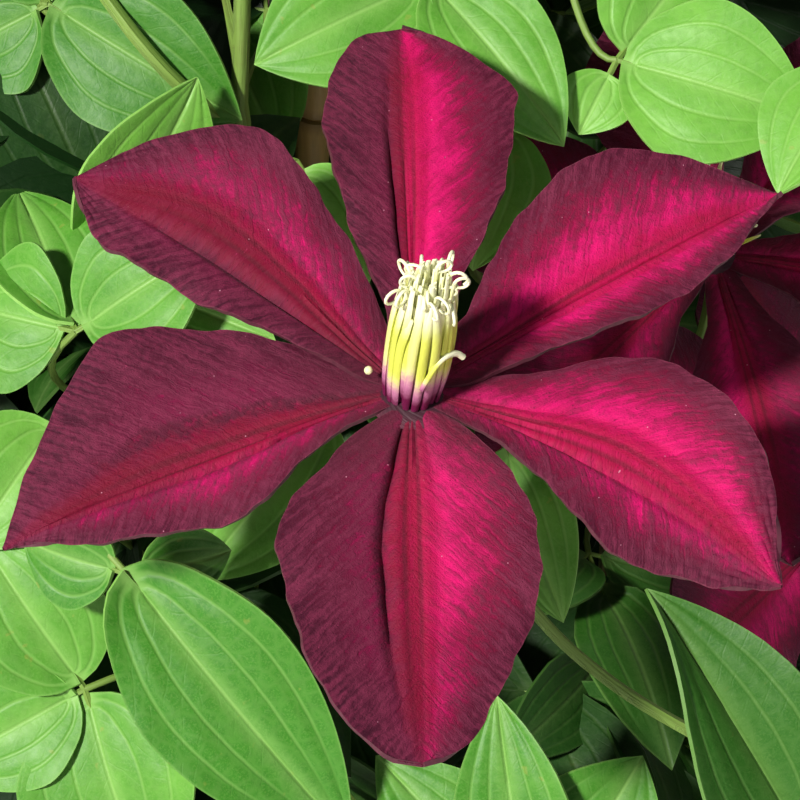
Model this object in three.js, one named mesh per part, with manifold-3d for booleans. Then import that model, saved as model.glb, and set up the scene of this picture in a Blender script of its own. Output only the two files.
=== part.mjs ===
// A clematis in a plain clay pot: three leafy vines on a tripod of canes, six open blooms and three buds.
// Millimetres, +Z up. The origin is the middle of the pot's underside. The front of the plant is -Y.
import * as THREE from "three";
import { mergeVertices } from "three/addons/utils/BufferGeometryUtils.js";
import Module from "manifold-3d";

const wasm = await Module();
wasm.setup();

// The pot and the soil
const POT_HEIGHT = 175;
const POT_BASE_RADIUS = 74;
const POT_NECK_RADIUS = 96;
const POT_RIM_RADIUS = 104;
const COLLAR_HEIGHT = 32;
const POT_FLOOR = 9;
const INNER_BASE_RADIUS = 66;
const INNER_RIM_RADIUS = 94;
const POT_SIDES = 24;
const DRAIN_RADIUS = 7;
const DRAIN_CIRCLE = 42;
const SOIL_TOP = 150;
const GAP = 0.3;

// The canes, which lean together and pass each other at the tie
const CANE_CIRCLE = 54;
const CANE_FOOT = 70;
const CANE_TOP = 640;
const CANE_RADIUS = 3.6;
const CANE_SIDES = 6;
const CANE_JOINTS = 5;
const TIE_HEIGHT = 600;
const TIE_CIRCLE = 4.6;
const TIE_TALL = 12;
const TIE_RADIUS = 9.1;
const TIE_THICK = 2.4;

// The vines
const STEM_CIRCLE = 20;
const STEM_SPREAD = 26;
const STEM_SPREAD_RISE = 150;
const STEM_GATHER = 14;
const STEM_GATHER_FROM = 430;
const STEM_GATHER_RISE = 170;
const STEM_SWAY = 13;
const STEM_FOOT = 122;
const STEM_RADIUS = 2.3;
const STEM_TIP_RADIUS = 1.2;
const STEM_HOLE = 3.2;
const STEM_SIDES = 5;
const NODE_SPACING = 1.5;
const STEM_LOW_RINGS = [152, 176];
const PETIOLE_HALF = 0.9;
const PLATE = 1.3;
const PEDICEL_RADIUS = 1.3;
const BLADE_THICK = 0.7;
const VINES = [
  { name: "vine_left", azimuth: 212, top: 590, sway: 0.4, seed: 11, inward: 0 },
  { name: "vine_right", azimuth: 328, top: 575, sway: 2.1, seed: 23, inward: 38 },
  { name: "vine_back", azimuth: 90, top: 600, sway: 4.4, seed: 37, inward: 0 },
];
const INSIDE_HEIGHT = 425;
const INSIDE_REACH = 90;
const LEAF_STEP = 41;
const LEAF_START = 196;
const LEAF_END = 600;
const LEAF_STAGGER = 9;
const LEAF_TRIES = 22;
const TERMINAL_LENGTH = 60;
const SIDE_LENGTH = 48;
const LEAF_SLENDER = 0.56;
const CLEAR_OTHER = 10;
const CLEAR_OWN = 6;

// The front bloom is looked down on by this angle, from this distance, and the leaves round it are laid out
// in that view: across, up and behind, from the bloom's middle.
const LOOK_DOWN = 30;
const LOOK_FROM = 420;
const FRONT_BLOOM = [0, -115, 430];
const VIEW_SHIFT = [2, 1.3];
const VIEW_HALF = 84;
const VIEW_DEPTH = 50;

const rad = THREE.MathUtils.degToRad;
const vec = (x, y, z) => new THREE.Vector3(x, y, z);
const lerp = THREE.MathUtils.lerp;
const smooth = (x) => {
  const c = Math.min(1, Math.max(0, x));
  return c * c * (3 - 2 * c);
};

// A small repeatable random generator, from 0 to 1.
function dice(seed) {
  let a = seed >>> 0;
  return () => {
    a = (a + 0x6d2b79f5) >>> 0;
    let t = Math.imul(a ^ (a >>> 15), a | 1);
    t = (t ^ (t + Math.imul(t ^ (t >>> 7), t | 61))) >>> 0;
    return ((t ^ (t >>> 14)) >>> 0) / 4294967296;
  };
}

// The direction of an azimuth and an elevation, in degrees.
function aim(azimuth, elevation) {
  const flat = Math.cos(rad(elevation));
  return vec(flat * Math.cos(rad(azimuth)), flat * Math.sin(rad(azimuth)), Math.sin(rad(elevation)));
}

// A direction turned from one towards another, square to it, by an angle in radians.
function blend(from, towards, angle) {
  return from.clone().multiplyScalar(Math.cos(angle)).addScaledVector(towards, Math.sin(angle));
}

const VIEW_RIGHT = vec(1, 0, 0);
const VIEW_UP = vec(0, Math.sin(rad(LOOK_DOWN)), Math.cos(rad(LOOK_DOWN)));
const VIEW_IN = vec(0, Math.cos(rad(LOOK_DOWN)), -Math.sin(rad(LOOK_DOWN)));

// A point of the front view in millimetres, spread with its depth as the eye sees it.
function seen([across, up, behind]) {
  const spread = 1 + behind / LOOK_FROM;
  return vec(...FRONT_BLOOM)
    .addScaledVector(VIEW_RIGHT, (across + VIEW_SHIFT[0]) * spread - VIEW_SHIFT[0])
    .addScaledVector(VIEW_UP, (up + VIEW_SHIFT[1]) * spread - VIEW_SHIFT[1])
    .addScaledVector(VIEW_IN, behind);
}

// Whether a point stands before the leaves that the front view keeps clear.
function inFrontView(p) {
  const away = p.clone().sub(vec(...FRONT_BLOOM));
  const behind = away.dot(VIEW_IN);
  const spread = 1 + behind / LOOK_FROM;
  const across = Math.abs(away.dot(VIEW_RIGHT)) / spread;
  const up = Math.abs(away.dot(VIEW_UP)) / spread;
  return behind < VIEW_DEPTH && across < VIEW_HALF && up < VIEW_HALF;
}

// A cubic curve from a to d, as a list of points.
function curve(a, b, c, d, steps) {
  return new THREE.CubicBezierCurve3(a, b, c, d).getPoints(steps);
}

// A closed mesh from points and triangles, turned inside out if its faces point inwards.
function closed(points, triangles) {
  let volume = 0;
  for (const [i, j, k] of triangles) {
    volume += points[i].dot(points[j].clone().cross(points[k]));
  }
  const turned = volume < 0 ? triangles.map(([i, j, k]) => [i, k, j]) : triangles;
  const geometry = new THREE.BufferGeometry();
  geometry.setFromPoints(points);
  geometry.setIndex(turned.flat());
  return geometry;
}

// A round rod along points, with a radius for each, closed by flat ends.
function rod(points, radii, sides) {
  const ring = [];
  const side = vec(0, 0, 0);
  const faces = [];
  points.forEach((p, i) => {
    const before = points[Math.max(i - 1, 0)];
    const after = points[Math.min(i + 1, points.length - 1)];
    const along = after.clone().sub(before).normalize();
    if (i === 0) side.copy(Math.abs(along.z) < 0.9 ? vec(0, 0, 1) : vec(1, 0, 0));
    side.addScaledVector(along, -side.dot(along)).normalize();
    const other = along.clone().cross(side);
    for (let s = 0; s < sides; s++) {
      const turn = (2 * Math.PI * s) / sides;
      ring.push(
        p.clone()
          .addScaledVector(side, radii[i] * Math.cos(turn))
          .addScaledVector(other, radii[i] * Math.sin(turn)),
      );
    }
  });
  for (let i = 0; i + 1 < points.length; i++) {
    for (let s = 0; s < sides; s++) {
      const a = i * sides + s;
      const b = i * sides + ((s + 1) % sides);
      faces.push([a, b, b + sides], [a, b + sides, a + sides]);
    }
  }
  const last = (points.length - 1) * sides;
  for (let s = 1; s + 1 < sides; s++) {
    faces.push([0, s + 1, s], [last, last + s, last + s + 1]);
  }
  return closed(ring, faces);
}

// A thin blade that follows at(t, s), from its foot at t = 0 to its tip at t = 1 and across from s = -1
// to 1. Both faces are split into triangles alike.
function blade(at, rows, columns, thick) {
  const wide = columns.length;
  const middle = rows.slice(0, -1).flatMap((t) => columns.map((s) => at(t, s)));
  middle.push(at(1, 0));
  const tip = middle.length - 1;
  const id = (i, j) => (i === rows.length - 1 ? tip : i * wide + j);
  const faces = [];
  for (let i = 0; i + 1 < rows.length; i++) {
    for (let j = 0; j + 1 < wide; j++) {
      faces.push([id(i, j), id(i, j + 1), id(i + 1, j)]);
      if (i + 2 < rows.length) faces.push([id(i, j + 1), id(i + 1, j + 1), id(i + 1, j)]);
    }
  }
  const normals = middle.map(() => vec(0, 0, 0));
  for (const [i, j, k] of faces) {
    const n = middle[j].clone().sub(middle[i]).cross(middle[k].clone().sub(middle[i]));
    [i, j, k].forEach((c) => normals[c].add(n));
  }
  normals.forEach((n) => n.normalize());
  const top = middle.map((p, i) => p.clone().addScaledVector(normals[i], thick / 2));
  const under = middle.map((p, i) => p.clone().addScaledVector(normals[i], -thick / 2));
  const edge = columns.map((_, j) => id(0, j));
  for (let i = 1; i < rows.length - 1; i++) edge.push(id(i, wide - 1));
  edge.push(tip);
  for (let i = rows.length - 2; i > 0; i--) edge.push(id(i, 0));
  const n = middle.length;
  const all = [...faces, ...faces.map(([i, j, k]) => [i + n, k + n, j + n])];
  edge.forEach((a, i) => {
    const b = edge[(i + 1) % edge.length];
    all.push([a, a + n, b + n], [a, b + n, b]);
  });
  return closed([...top, ...under], all);
}

// A three.js geometry as a solid that can be cut and joined.
function solid(geometry) {
  const bare = geometry.clone();
  bare.deleteAttribute("normal");
  bare.deleteAttribute("uv");
  const merged = mergeVertices(bare, 1e-4);
  return new wasm.Manifold(
    new wasm.Mesh({
      numProp: 3,
      vertProperties: merged.attributes.position.array,
      triVerts: new Uint32Array(merged.index.array),
    }),
  );
}

const join = (geometries) => wasm.Manifold.union(geometries.map(solid));

// The largest body of a solid, as a named mesh with a colour.
function part(name, made, colour, roughness) {
  const bodies = made.decompose().sort((a, b) => b.volume() - a.volume());
  const mesh = bodies[0].getMesh();
  const geometry = new THREE.BufferGeometry();
  geometry.setAttribute("position", new THREE.BufferAttribute(mesh.vertProperties, 3));
  geometry.setIndex(new THREE.BufferAttribute(mesh.triVerts, 1));
  geometry.computeVertexNormals();
  const material = new THREE.MeshStandardMaterial({ color: colour, roughness, metalness: 0 });
  const result = new THREE.Mesh(geometry, material);
  result.name = name;
  return result;
}

// A solid of revolution about the vertical axis from pairs of radius and height.
function turned(pairs, sides) {
  const profile = pairs.map(([r, z]) => new THREE.Vector2(r, z));
  return new THREE.LatheGeometry(profile, sides).rotateX(Math.PI / 2);
}

function cylinder(x, y, low, high, radius, sides) {
  return new THREE.CylinderGeometry(radius, radius, high - low, sides)
    .rotateX(Math.PI / 2)
    .translate(x, y, (low + high) / 2);
}

const innerRadius = (z) =>
  lerp(INNER_BASE_RADIUS, INNER_RIM_RADIUS, (z - POT_FLOOR) / (POT_HEIGHT - POT_FLOOR));

function makePot() {
  const neck = POT_HEIGHT - COLLAR_HEIGHT;
  const body = solid(
    turned(
      [
        [0, 0],
        [POT_BASE_RADIUS - 2, 0],
        [POT_BASE_RADIUS, 2],
        [POT_NECK_RADIUS, neck],
        [POT_RIM_RADIUS - 1.5, neck + 1.5],
        [POT_RIM_RADIUS, POT_HEIGHT - 3],
        [POT_RIM_RADIUS - 3, POT_HEIGHT],
        [INNER_RIM_RADIUS, POT_HEIGHT],
        [INNER_BASE_RADIUS, POT_FLOOR],
        [0, POT_FLOOR],
      ],
      POT_SIDES,
    ),
  );
  const drains = [45, 135, 225, 315].map((azimuth) => {
    const at = aim(azimuth, 0).multiplyScalar(DRAIN_CIRCLE);
    return solid(cylinder(at.x, at.y, -5, POT_FLOOR + 5, DRAIN_RADIUS, 8));
  });
  return part("pot", drains.reduce((pot, drain) => pot.subtract(drain), body), 0xb0623c, 0.85);
}

// The lumps of the soil's top, in height.
const lumps = (x, y) =>
  2.2 * Math.sin(x / 9 + 1) * Math.cos(y / 8) + 1.4 * Math.sin(x / 4.3) * Math.sin(y / 5.1 + 2);

function makeSoil() {
  const rings = [0, 22, 46, 70].map((r) => [r, SOIL_TOP]);
  const rim = innerRadius(SOIL_TOP) - GAP;
  const foot = POT_FLOOR + GAP;
  const wall = [
    [0, foot],
    [innerRadius(foot) - GAP, foot],
    [rim, SOIL_TOP],
  ];
  const geometry = turned([...wall, ...rings.reverse()], POT_SIDES);
  const place = geometry.attributes.position;
  for (let i = 0; i < place.count; i++) {
    const x = place.getX(i);
    const y = place.getY(i);
    if (place.getZ(i) > SOIL_TOP - 1 && Math.hypot(x, y) < rim - 1) place.setZ(i, SOIL_TOP + lumps(x, y));
  }
  let soil = solid(geometry);
  for (const vine of VINES) {
    const foot = stemAt(vine, STEM_FOOT);
    soil = soil.subtract(solid(cylinder(foot.x, foot.y, STEM_FOOT - GAP, SOIL_TOP + 20, STEM_HOLE, 8)));
  }
  for (let i = 0; i < 3; i++) {
    const hole = [CANE_FOOT - GAP, SOIL_TOP + 20].map((z) => caneAt(i, z));
    soil = soil.subtract(solid(rod(hole, [CANE_RADIUS + 1, CANE_RADIUS + 1], 10)));
  }
  return part("soil", soil, 0x3a2a1c, 1);
}

// A cane's axis at a height: a straight line that passes the tie beside the middle.
function caneAt(i, z) {
  const foot = aim(30 + 120 * i, 0).multiplyScalar(CANE_CIRCLE).setZ(SOIL_TOP);
  const waist = aim(120 + 120 * i, 0).multiplyScalar(TIE_CIRCLE).setZ(TIE_HEIGHT);
  return foot.lerp(waist, (z - SOIL_TOP) / (TIE_HEIGHT - SOIL_TOP));
}

function makeCane(i) {
  const points = [caneAt(i, CANE_FOOT)];
  const radii = [CANE_RADIUS];
  for (let k = 1; k < CANE_JOINTS; k++) {
    const z = lerp(CANE_FOOT, CANE_TOP, (k + 0.12 * i) / CANE_JOINTS);
    [-3, 0, 2].forEach((step, n) => {
      points.push(caneAt(i, z + step));
      radii.push(CANE_RADIUS + [0, 0.5, -0.1][n]);
    });
  }
  points.push(caneAt(i, CANE_TOP));
  radii.push(CANE_RADIUS - 0.2);
  return part("cane_" + (i + 1), solid(rod(points, radii, CANE_SIDES)), 0xc9a765, 0.6);
}

function makeTie() {
  const low = TIE_HEIGHT - TIE_TALL / 2;
  const turns = 3;
  const profile = [[TIE_RADIUS, low], [TIE_RADIUS + TIE_THICK * 0.6, low]];
  for (let k = 0; k < turns; k++) {
    profile.push([TIE_RADIUS + TIE_THICK, low + ((k + 0.5) * TIE_TALL) / turns]);
    profile.push([TIE_RADIUS + TIE_THICK * 0.6, low + ((k + 1) * TIE_TALL) / turns]);
  }
  profile.push([TIE_RADIUS, low + TIE_TALL], [TIE_RADIUS, low]);
  return part("tie", solid(turned(profile, 12)), 0xb89a6a, 0.9);
}

// A vine's stem at a height. It spreads above the soil, and one stem passes inside the canes, behind the
// blooms.
function stemAt(vine, z) {
  const inside = Math.max(0, 1 - ((z - INSIDE_HEIGHT) / INSIDE_REACH) ** 2) ** 2;
  const spread = STEM_SPREAD * smooth((z - SOIL_TOP) / STEM_SPREAD_RISE);
  const gather = STEM_GATHER * smooth((z - STEM_GATHER_FROM) / STEM_GATHER_RISE);
  const away = STEM_CIRCLE + spread - gather - vine.inward * inside;
  const turn = vine.azimuth + STEM_SWAY * Math.sin(z / 62 + vine.sway) * smooth((z - SOIL_TOP) / 60);
  return aim(turn, 0).multiplyScalar(away).setZ(z);
}

function stemRadius(vine, z) {
  return lerp(STEM_RADIUS, STEM_TIP_RADIUS, (z - STEM_FOOT) / (vine.top - STEM_FOOT));
}

// One side of a sepal: its width grows from the foot to the widest place and closes to the tip.
const FOOT_SHARE = 0.12;
function sideWidth(t, [width, widest, fullness, shoulder, tip]) {
  if (t < widest) {
    return width * (FOOT_SHARE + (1 - FOOT_SHARE) * Math.sin((Math.PI / 2) * (t / widest) ** fullness));
  }
  return width * Math.max(0, 1 - ((t - widest) / (1 - widest)) ** shoulder) ** tip;
}

// The sepals of the front bloom: heading, sideways drift, length, twist and the rise at foot and tip, in
// degrees and millimetres, then each side's width, widest place, fullness, shoulder and tip.
const FRONT_SEPALS = [
  {
    turn: 90,
    drift: 3,
    long: 68.9,
    twist: 6,
    rise: [16, 10],
    left: [14.2, 0.69, 1.43, 2.25, 0.32],
    right: [19.6, 0.8, 1.2, 1.4, 0.68],
  },
  {
    turn: 33.4,
    drift: -3.6,
    long: 71.1,
    twist: 24,
    rise: [10, 0],
    left: [21.4, 0.59, 1.34, 2.07, 1.07],
    right: [8.8, 0.63, 0.78, 1.77, 1.28],
  },
  {
    turn: -18.2,
    drift: -22.3,
    long: 64.2,
    twist: 25,
    rise: [-4, -14],
    left: [22.4, 0.51, 1.37, 2.04, 1.12],
    right: [12.2, 0.65, 1.57, 1.4, 0.82],
  },
  {
    turn: -90.3,
    drift: 3.6,
    long: 59.3,
    twist: -20.5,
    rise: [-10, -26],
    left: [20.9, 0.44, 0.77, 1.41, 0.53],
    right: [21.8, 0.42, 0.97, 1.42, 0.42],
  },
  {
    turn: 195,
    drift: 12.5,
    long: 67.2,
    twist: -24.5,
    rise: [-4, -12],
    left: [12.4, 0.44, 1.74, 2, 1.28],
    right: [26.2, 0.56, 0.95, 1.41, 1.06],
  },
  {
    turn: 144,
    drift: 0,
    long: 68.5,
    twist: -23,
    rise: [10, 2],
    left: [8, 0.79, 0.92, 1.4, 0.86],
    right: [24.7, 0.69, 1.04, 1.49, 0.88],
  },
];

// The shoot that carries the front bloom comes in from the lower right of the view.
const FRONT_SHOOT = [[60, -62, 56], [48, -57, 38], [33, -48, 30], [20, -36, 25], [6, -15, 17]];

// The blooms: place, heading and lift of the axis, the vine that carries it, the stem height of its stalk,
// how far its stamens spread and how its sepals are turned.
const BLOOMS = [
  { at: vec(...FRONT_BLOOM), azimuth: 270, lift: 70, vine: 1, from: 292, spread: 0, via: FRONT_SHOOT },
  { at: seen([49.5, 23, 80]), azimuth: 258, lift: 47, vine: 1, from: 350, spread: 0.3, spin: -8, seed: 102 },
  { at: seen([69, -23, 102]), azimuth: 318, lift: 48, vine: 1, from: 270, spread: 0.85, spin: 0, seed: 203 },
  { at: vec(-104, 22, 520), azimuth: 165, lift: 52, vine: 0, from: 440, spread: 0.25, spin: 20, seed: 304 },
  { at: vec(82, 62, 548), azimuth: 40, lift: 46, vine: 2, from: 470, spread: 0.3, spin: 50, seed: 405 },
  { at: vec(-16, 128, 398), azimuth: 96, lift: 38, vine: 2, from: 320, spread: 0.35, spin: 35, seed: 506 },
];
const SEPALS = 6;
const SEPAL_THICK = 0.8;
const HUB_HEIGHTS = [-3, -1.6, 0.8];
const HUB_RADIUS = 5.2;

// The gutter along a sepal's middle and the waves along its margins
const GUTTER_DEPTH = 1.4;
const WAVE_HEIGHT = 1.1;
const WAVE_COUNT = 1.6;

// The boss: its core, and the bundle of stamens round it, with its radius at the foot, middle and tips. The
// front bloom's is a tight column that drifts to the right as it rises.
const CORE_HEIGHTS = [0.8 + GAP, 5, 12, 19, 23];
const BUNDLE = { core: [3.4, 4.4, 4.9, 4.2, 2.2], foot: 3.2, middle: 3.4, tip: 3.6, flare: 0.8, drift: 0 };
const FRONT_BUNDLE = {
  core: [3.4, 4.9, 5.2, 4.7, 2],
  foot: 4.6,
  middle: 5.6,
  tip: 4.6,
  flare: 0,
  drift: 0.1,
};
const BOSS_HEIGHT = 31;
const SPREAD_REACH = 22;
const STAMEN_TURN = 2.4;
const STAMEN_RADII = [0.7, 0.6, 0.75];
const FRONT_STAMENS = 20;
const OTHER_STAMENS = 7;

const BUDS = [
  { at: vec(14, -52, 634), azimuth: 290, lift: 66, vine: 1, from: 560, long: 26 },
  { at: vec(124, 2, 462), azimuth: 10, lift: 55, vine: 2, from: 400, long: 30 },
  { at: vec(-112, -62, 318), azimuth: 215, lift: 40, vine: 0, from: 262, long: 24 },
];
const BUD_RADIUS = 6;
const BUD_SHARES = [0, 0.12, 0.34, 0.62, 0.86, 1];
const BUD_WIDTHS = [0.3, 0.75, 1, 0.82, 0.42, 0.08];

// The frame of a bloom: its axis, its upward direction and its right, seen from its open side.
function bloomFrame(bloom) {
  const axis = aim(bloom.azimuth, bloom.lift);
  const up = vec(0, 0, 1).addScaledVector(axis, -axis.z).normalize();
  return { axis, up, right: up.clone().cross(axis) };
}

// The sepals of any other bloom, drawn by its seed.
function drawnSepals(bloom) {
  const roll = dice(bloom.seed);
  const between = (low, high) => lerp(low, high, roll());
  return Array.from({ length: SEPALS }, (_, i) => ({
    turn: bloom.spin + 60 * i + between(-6, 6),
    drift: between(-9, 9),
    long: between(56, 64),
    twist: between(-14, 14),
    rise: [between(6, 14), between(-16, 2)],
    left: [between(15, 18.5), between(0.55, 0.64), 1.5, between(1.6, 2.1), between(0.7, 1)],
    right: [between(15, 18.5), between(0.55, 0.64), 1.5, between(1.6, 2.1), between(0.7, 1)],
  }));
}

// A point on a sepal's middle surface.
function sepalPoint(bloom, frame, sepal, t, s) {
  const steps = 16;
  const heading = (x) => blend(frame.right, frame.up, rad(sepal.turn + sepal.drift * x));
  const slope = (x) => rad(lerp(sepal.rise[0], sepal.rise[1], x));
  const p = bloom.at.clone().addScaledVector(heading(0), HUB_RADIUS - 1);
  for (let i = 0; i < steps; i++) {
    const x = ((i + 0.5) / steps) * t;
    const stride = (sepal.long * t) / steps;
    p.addScaledVector(heading(x), Math.cos(slope(x)) * stride);
    p.addScaledVector(frame.axis, Math.sin(slope(x)) * stride);
  }
  const along = blend(heading(t), frame.axis, slope(t));
  const flat = frame.axis.clone().cross(heading(t));
  const proud = along.clone().cross(flat);
  const twist = rad(sepal.twist * t);
  const across = blend(flat, proud, twist);
  const out = blend(proud, flat, -twist);
  const width = sideWidth(t, s > 0 ? sepal.left : sepal.right);
  const gutter = -GUTTER_DEPTH * Math.sin(Math.PI * Math.min(1, t * 1.2)) * (1 - Math.abs(s)) ** 2;
  const phase = sepal.turn + (s > 0 ? 0 : 2);
  const wave = WAVE_HEIGHT * Math.sin(2 * Math.PI * (WAVE_COUNT * t) + phase) * s * s * t;
  return p.addScaledVector(across, s * width).addScaledVector(out, gutter + wave);
}

function makeSepals(bloom, index) {
  const frame = bloomFrame(bloom);
  const main = index === 0;
  const rows = main ? [0, 0.14, 0.32, 0.5, 0.66, 0.82, 0.94, 1] : [0, 0.28, 0.56, 0.82, 1];
  const columns = main ? [-1, -0.5, 0, 0.5, 1] : [-1, 0, 1];
  const sepals = main ? FRONT_SEPALS : drawnSepals(bloom);
  const pieces = sepals.map((sepal) =>
    blade((t, s) => sepalPoint(bloom, frame, sepal, t, s), rows, columns, SEPAL_THICK),
  );
  const hub = HUB_HEIGHTS.map((h) => bloom.at.clone().addScaledVector(frame.axis, h));
  pieces.push(rod(hub, [1.7, 4.2, HUB_RADIUS], 6));
  return part("bloom_" + (index + 1) + "_sepals", join(pieces), 0x9b1248, 0.6);
}

// The boss: a slim core of packed stamens with loose ones round and above it.
function makeBoss(bloom, index) {
  const frame = bloomFrame(bloom);
  const main = index === 0;
  const roll = dice(900 + index);
  const between = (low, high) => lerp(low, high, roll());
  const bundle = main ? FRONT_BUNDLE : BUNDLE;
  const up = (h, r, turn) =>
    bloom.at.clone()
      .addScaledVector(frame.axis, h)
      .addScaledVector(frame.right, r * Math.cos(turn) + bundle.drift * h)
      .addScaledVector(frame.up, r * Math.sin(turn));
  const pieces = [rod(CORE_HEIGHTS.map((h) => up(h, 0, 0)), bundle.core, main ? 8 : 6)];
  const loose = main ? FRONT_STAMENS : OTHER_STAMENS;
  for (let i = 0; i < loose; i++) {
    const turn = i * STAMEN_TURN + between(-0.2, 0.2);
    const share = Math.sqrt((i + 0.5) / loose);
    const reach = between(0.9, 1.1) * (main ? 1.25 - 0.25 * share : 1);
    const lean = bloom.spread * share;
    const top = (BOSS_HEIGHT - 6 * share) * between(0.9, 1.05) * Math.cos(lean);
    const out = bundle.tip * share * reach + SPREAD_REACH * Math.sin(lean);
    const foot = up(9, bundle.foot * share, turn);
    const mid = up(lerp(9, top, 0.6), lerp(bundle.middle * share + 0.6, out, 0.7), turn);
    const tip = up(top, out + bundle.flare, turn + between(-0.3, 0.3));
    pieces.push(rod([foot, mid, tip], STAMEN_RADII, 3));
  }
  return part("bloom_" + (index + 1) + "_boss", join(pieces), 0xe6e6a0, 0.7);
}

function makeBud(bud, index) {
  const axis = aim(bud.azimuth, bud.lift);
  const points = BUD_SHARES.map((x) => bud.at.clone().addScaledVector(axis, x * bud.long));
  const radii = BUD_WIDTHS.map((x) => x * BUD_RADIUS);
  return part("bud_" + (index + 1), solid(rod(points, radii, 8)), 0x8a3a56, 0.6);
}

// How a stalk leaves its stem and comes to its bloom, as shares of the way between them
const STALK_OUT = 0.3;
const STALK_RISE = 0.25;
const STALK_ARRIVE = 0.4;

// The stalk of a bloom or bud, from its vine's stem to just under it.
function stalk(carried, below) {
  const axis = aim(carried.azimuth, carried.lift);
  const start = stemAt(VINES[carried.vine], carried.from);
  const end = carried.at.clone().addScaledVector(axis, -below);
  if (carried.via) return [start, ...carried.via.map(seen), end];
  const reach = start.distanceTo(end);
  const outward = vec(start.x, start.y, 0).normalize();
  const leave = start.clone().addScaledVector(outward, reach * STALK_OUT).setZ(start.z + reach * STALK_RISE);
  const arrive = end.clone().addScaledVector(axis, -reach * STALK_ARRIVE);
  return curve(start, leave, arrive, end, 6);
}

const CARRIED = [
  ...BLOOMS.map((bloom) => ({ ...bloom, below: 3 + GAP })),
  ...BUDS.map((bud) => ({ ...bud, below: GAP })),
];

// A leaflet: its frame from foot to tip, facing a direction and rolled about its midrib.
function leaflet(foot, tip, width, facing, roll, shape) {
  const along = tip.clone().sub(foot);
  const long = along.length();
  along.normalize();
  const across = facing.clone().cross(along).normalize();
  const out = along.clone().cross(across);
  const turn = rad(roll);
  return {
    foot,
    along,
    long,
    width,
    across: blend(across, out, turn),
    out: blend(out, across, -turn),
    ...shape,
  };
}

const WIDEST = 0.36;
function leafProfile(t) {
  if (t < WIDEST) return 0.4 + 0.6 * Math.sin(((Math.PI / 2) * t) / WIDEST);
  return Math.max(0, 1 - ((t - WIDEST) / (1 - WIDEST)) ** 1.8) ** 0.92;
}

// A point on a leaflet: heart-shaped at the foot, arched along, folded up from the midrib and waved at its
// edges.
function leafPoint(leaf, t, s) {
  const half = (leaf.width / 2) * leafProfile(t);
  const x = leaf.long * (t - 0.09 * Math.abs(s) ** 1.5 * (1 - t) ** 4);
  const twist = rad(leaf.twist * (t - 0.3));
  const across = blend(leaf.across, leaf.out, twist);
  const out = blend(leaf.out, leaf.across, -twist);
  const wave = 0.03 * leaf.long * Math.sin(8 * t + leaf.phase + (s > 0 ? 0 : 2)) * s * s * (1 - t);
  return leaf.foot
    .clone()
    .addScaledVector(leaf.along, x)
    .addScaledVector(leaf.out, leaf.long * leaf.arch * 4 * t * (1 - t))
    .addScaledVector(across, s * half)
    .addScaledVector(out, leaf.fold * Math.abs(s) * half + wave);
}

// How far a hand-set leaf's halves fold up from its midrib
const VIEW_FOLD = 0.16;

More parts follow.
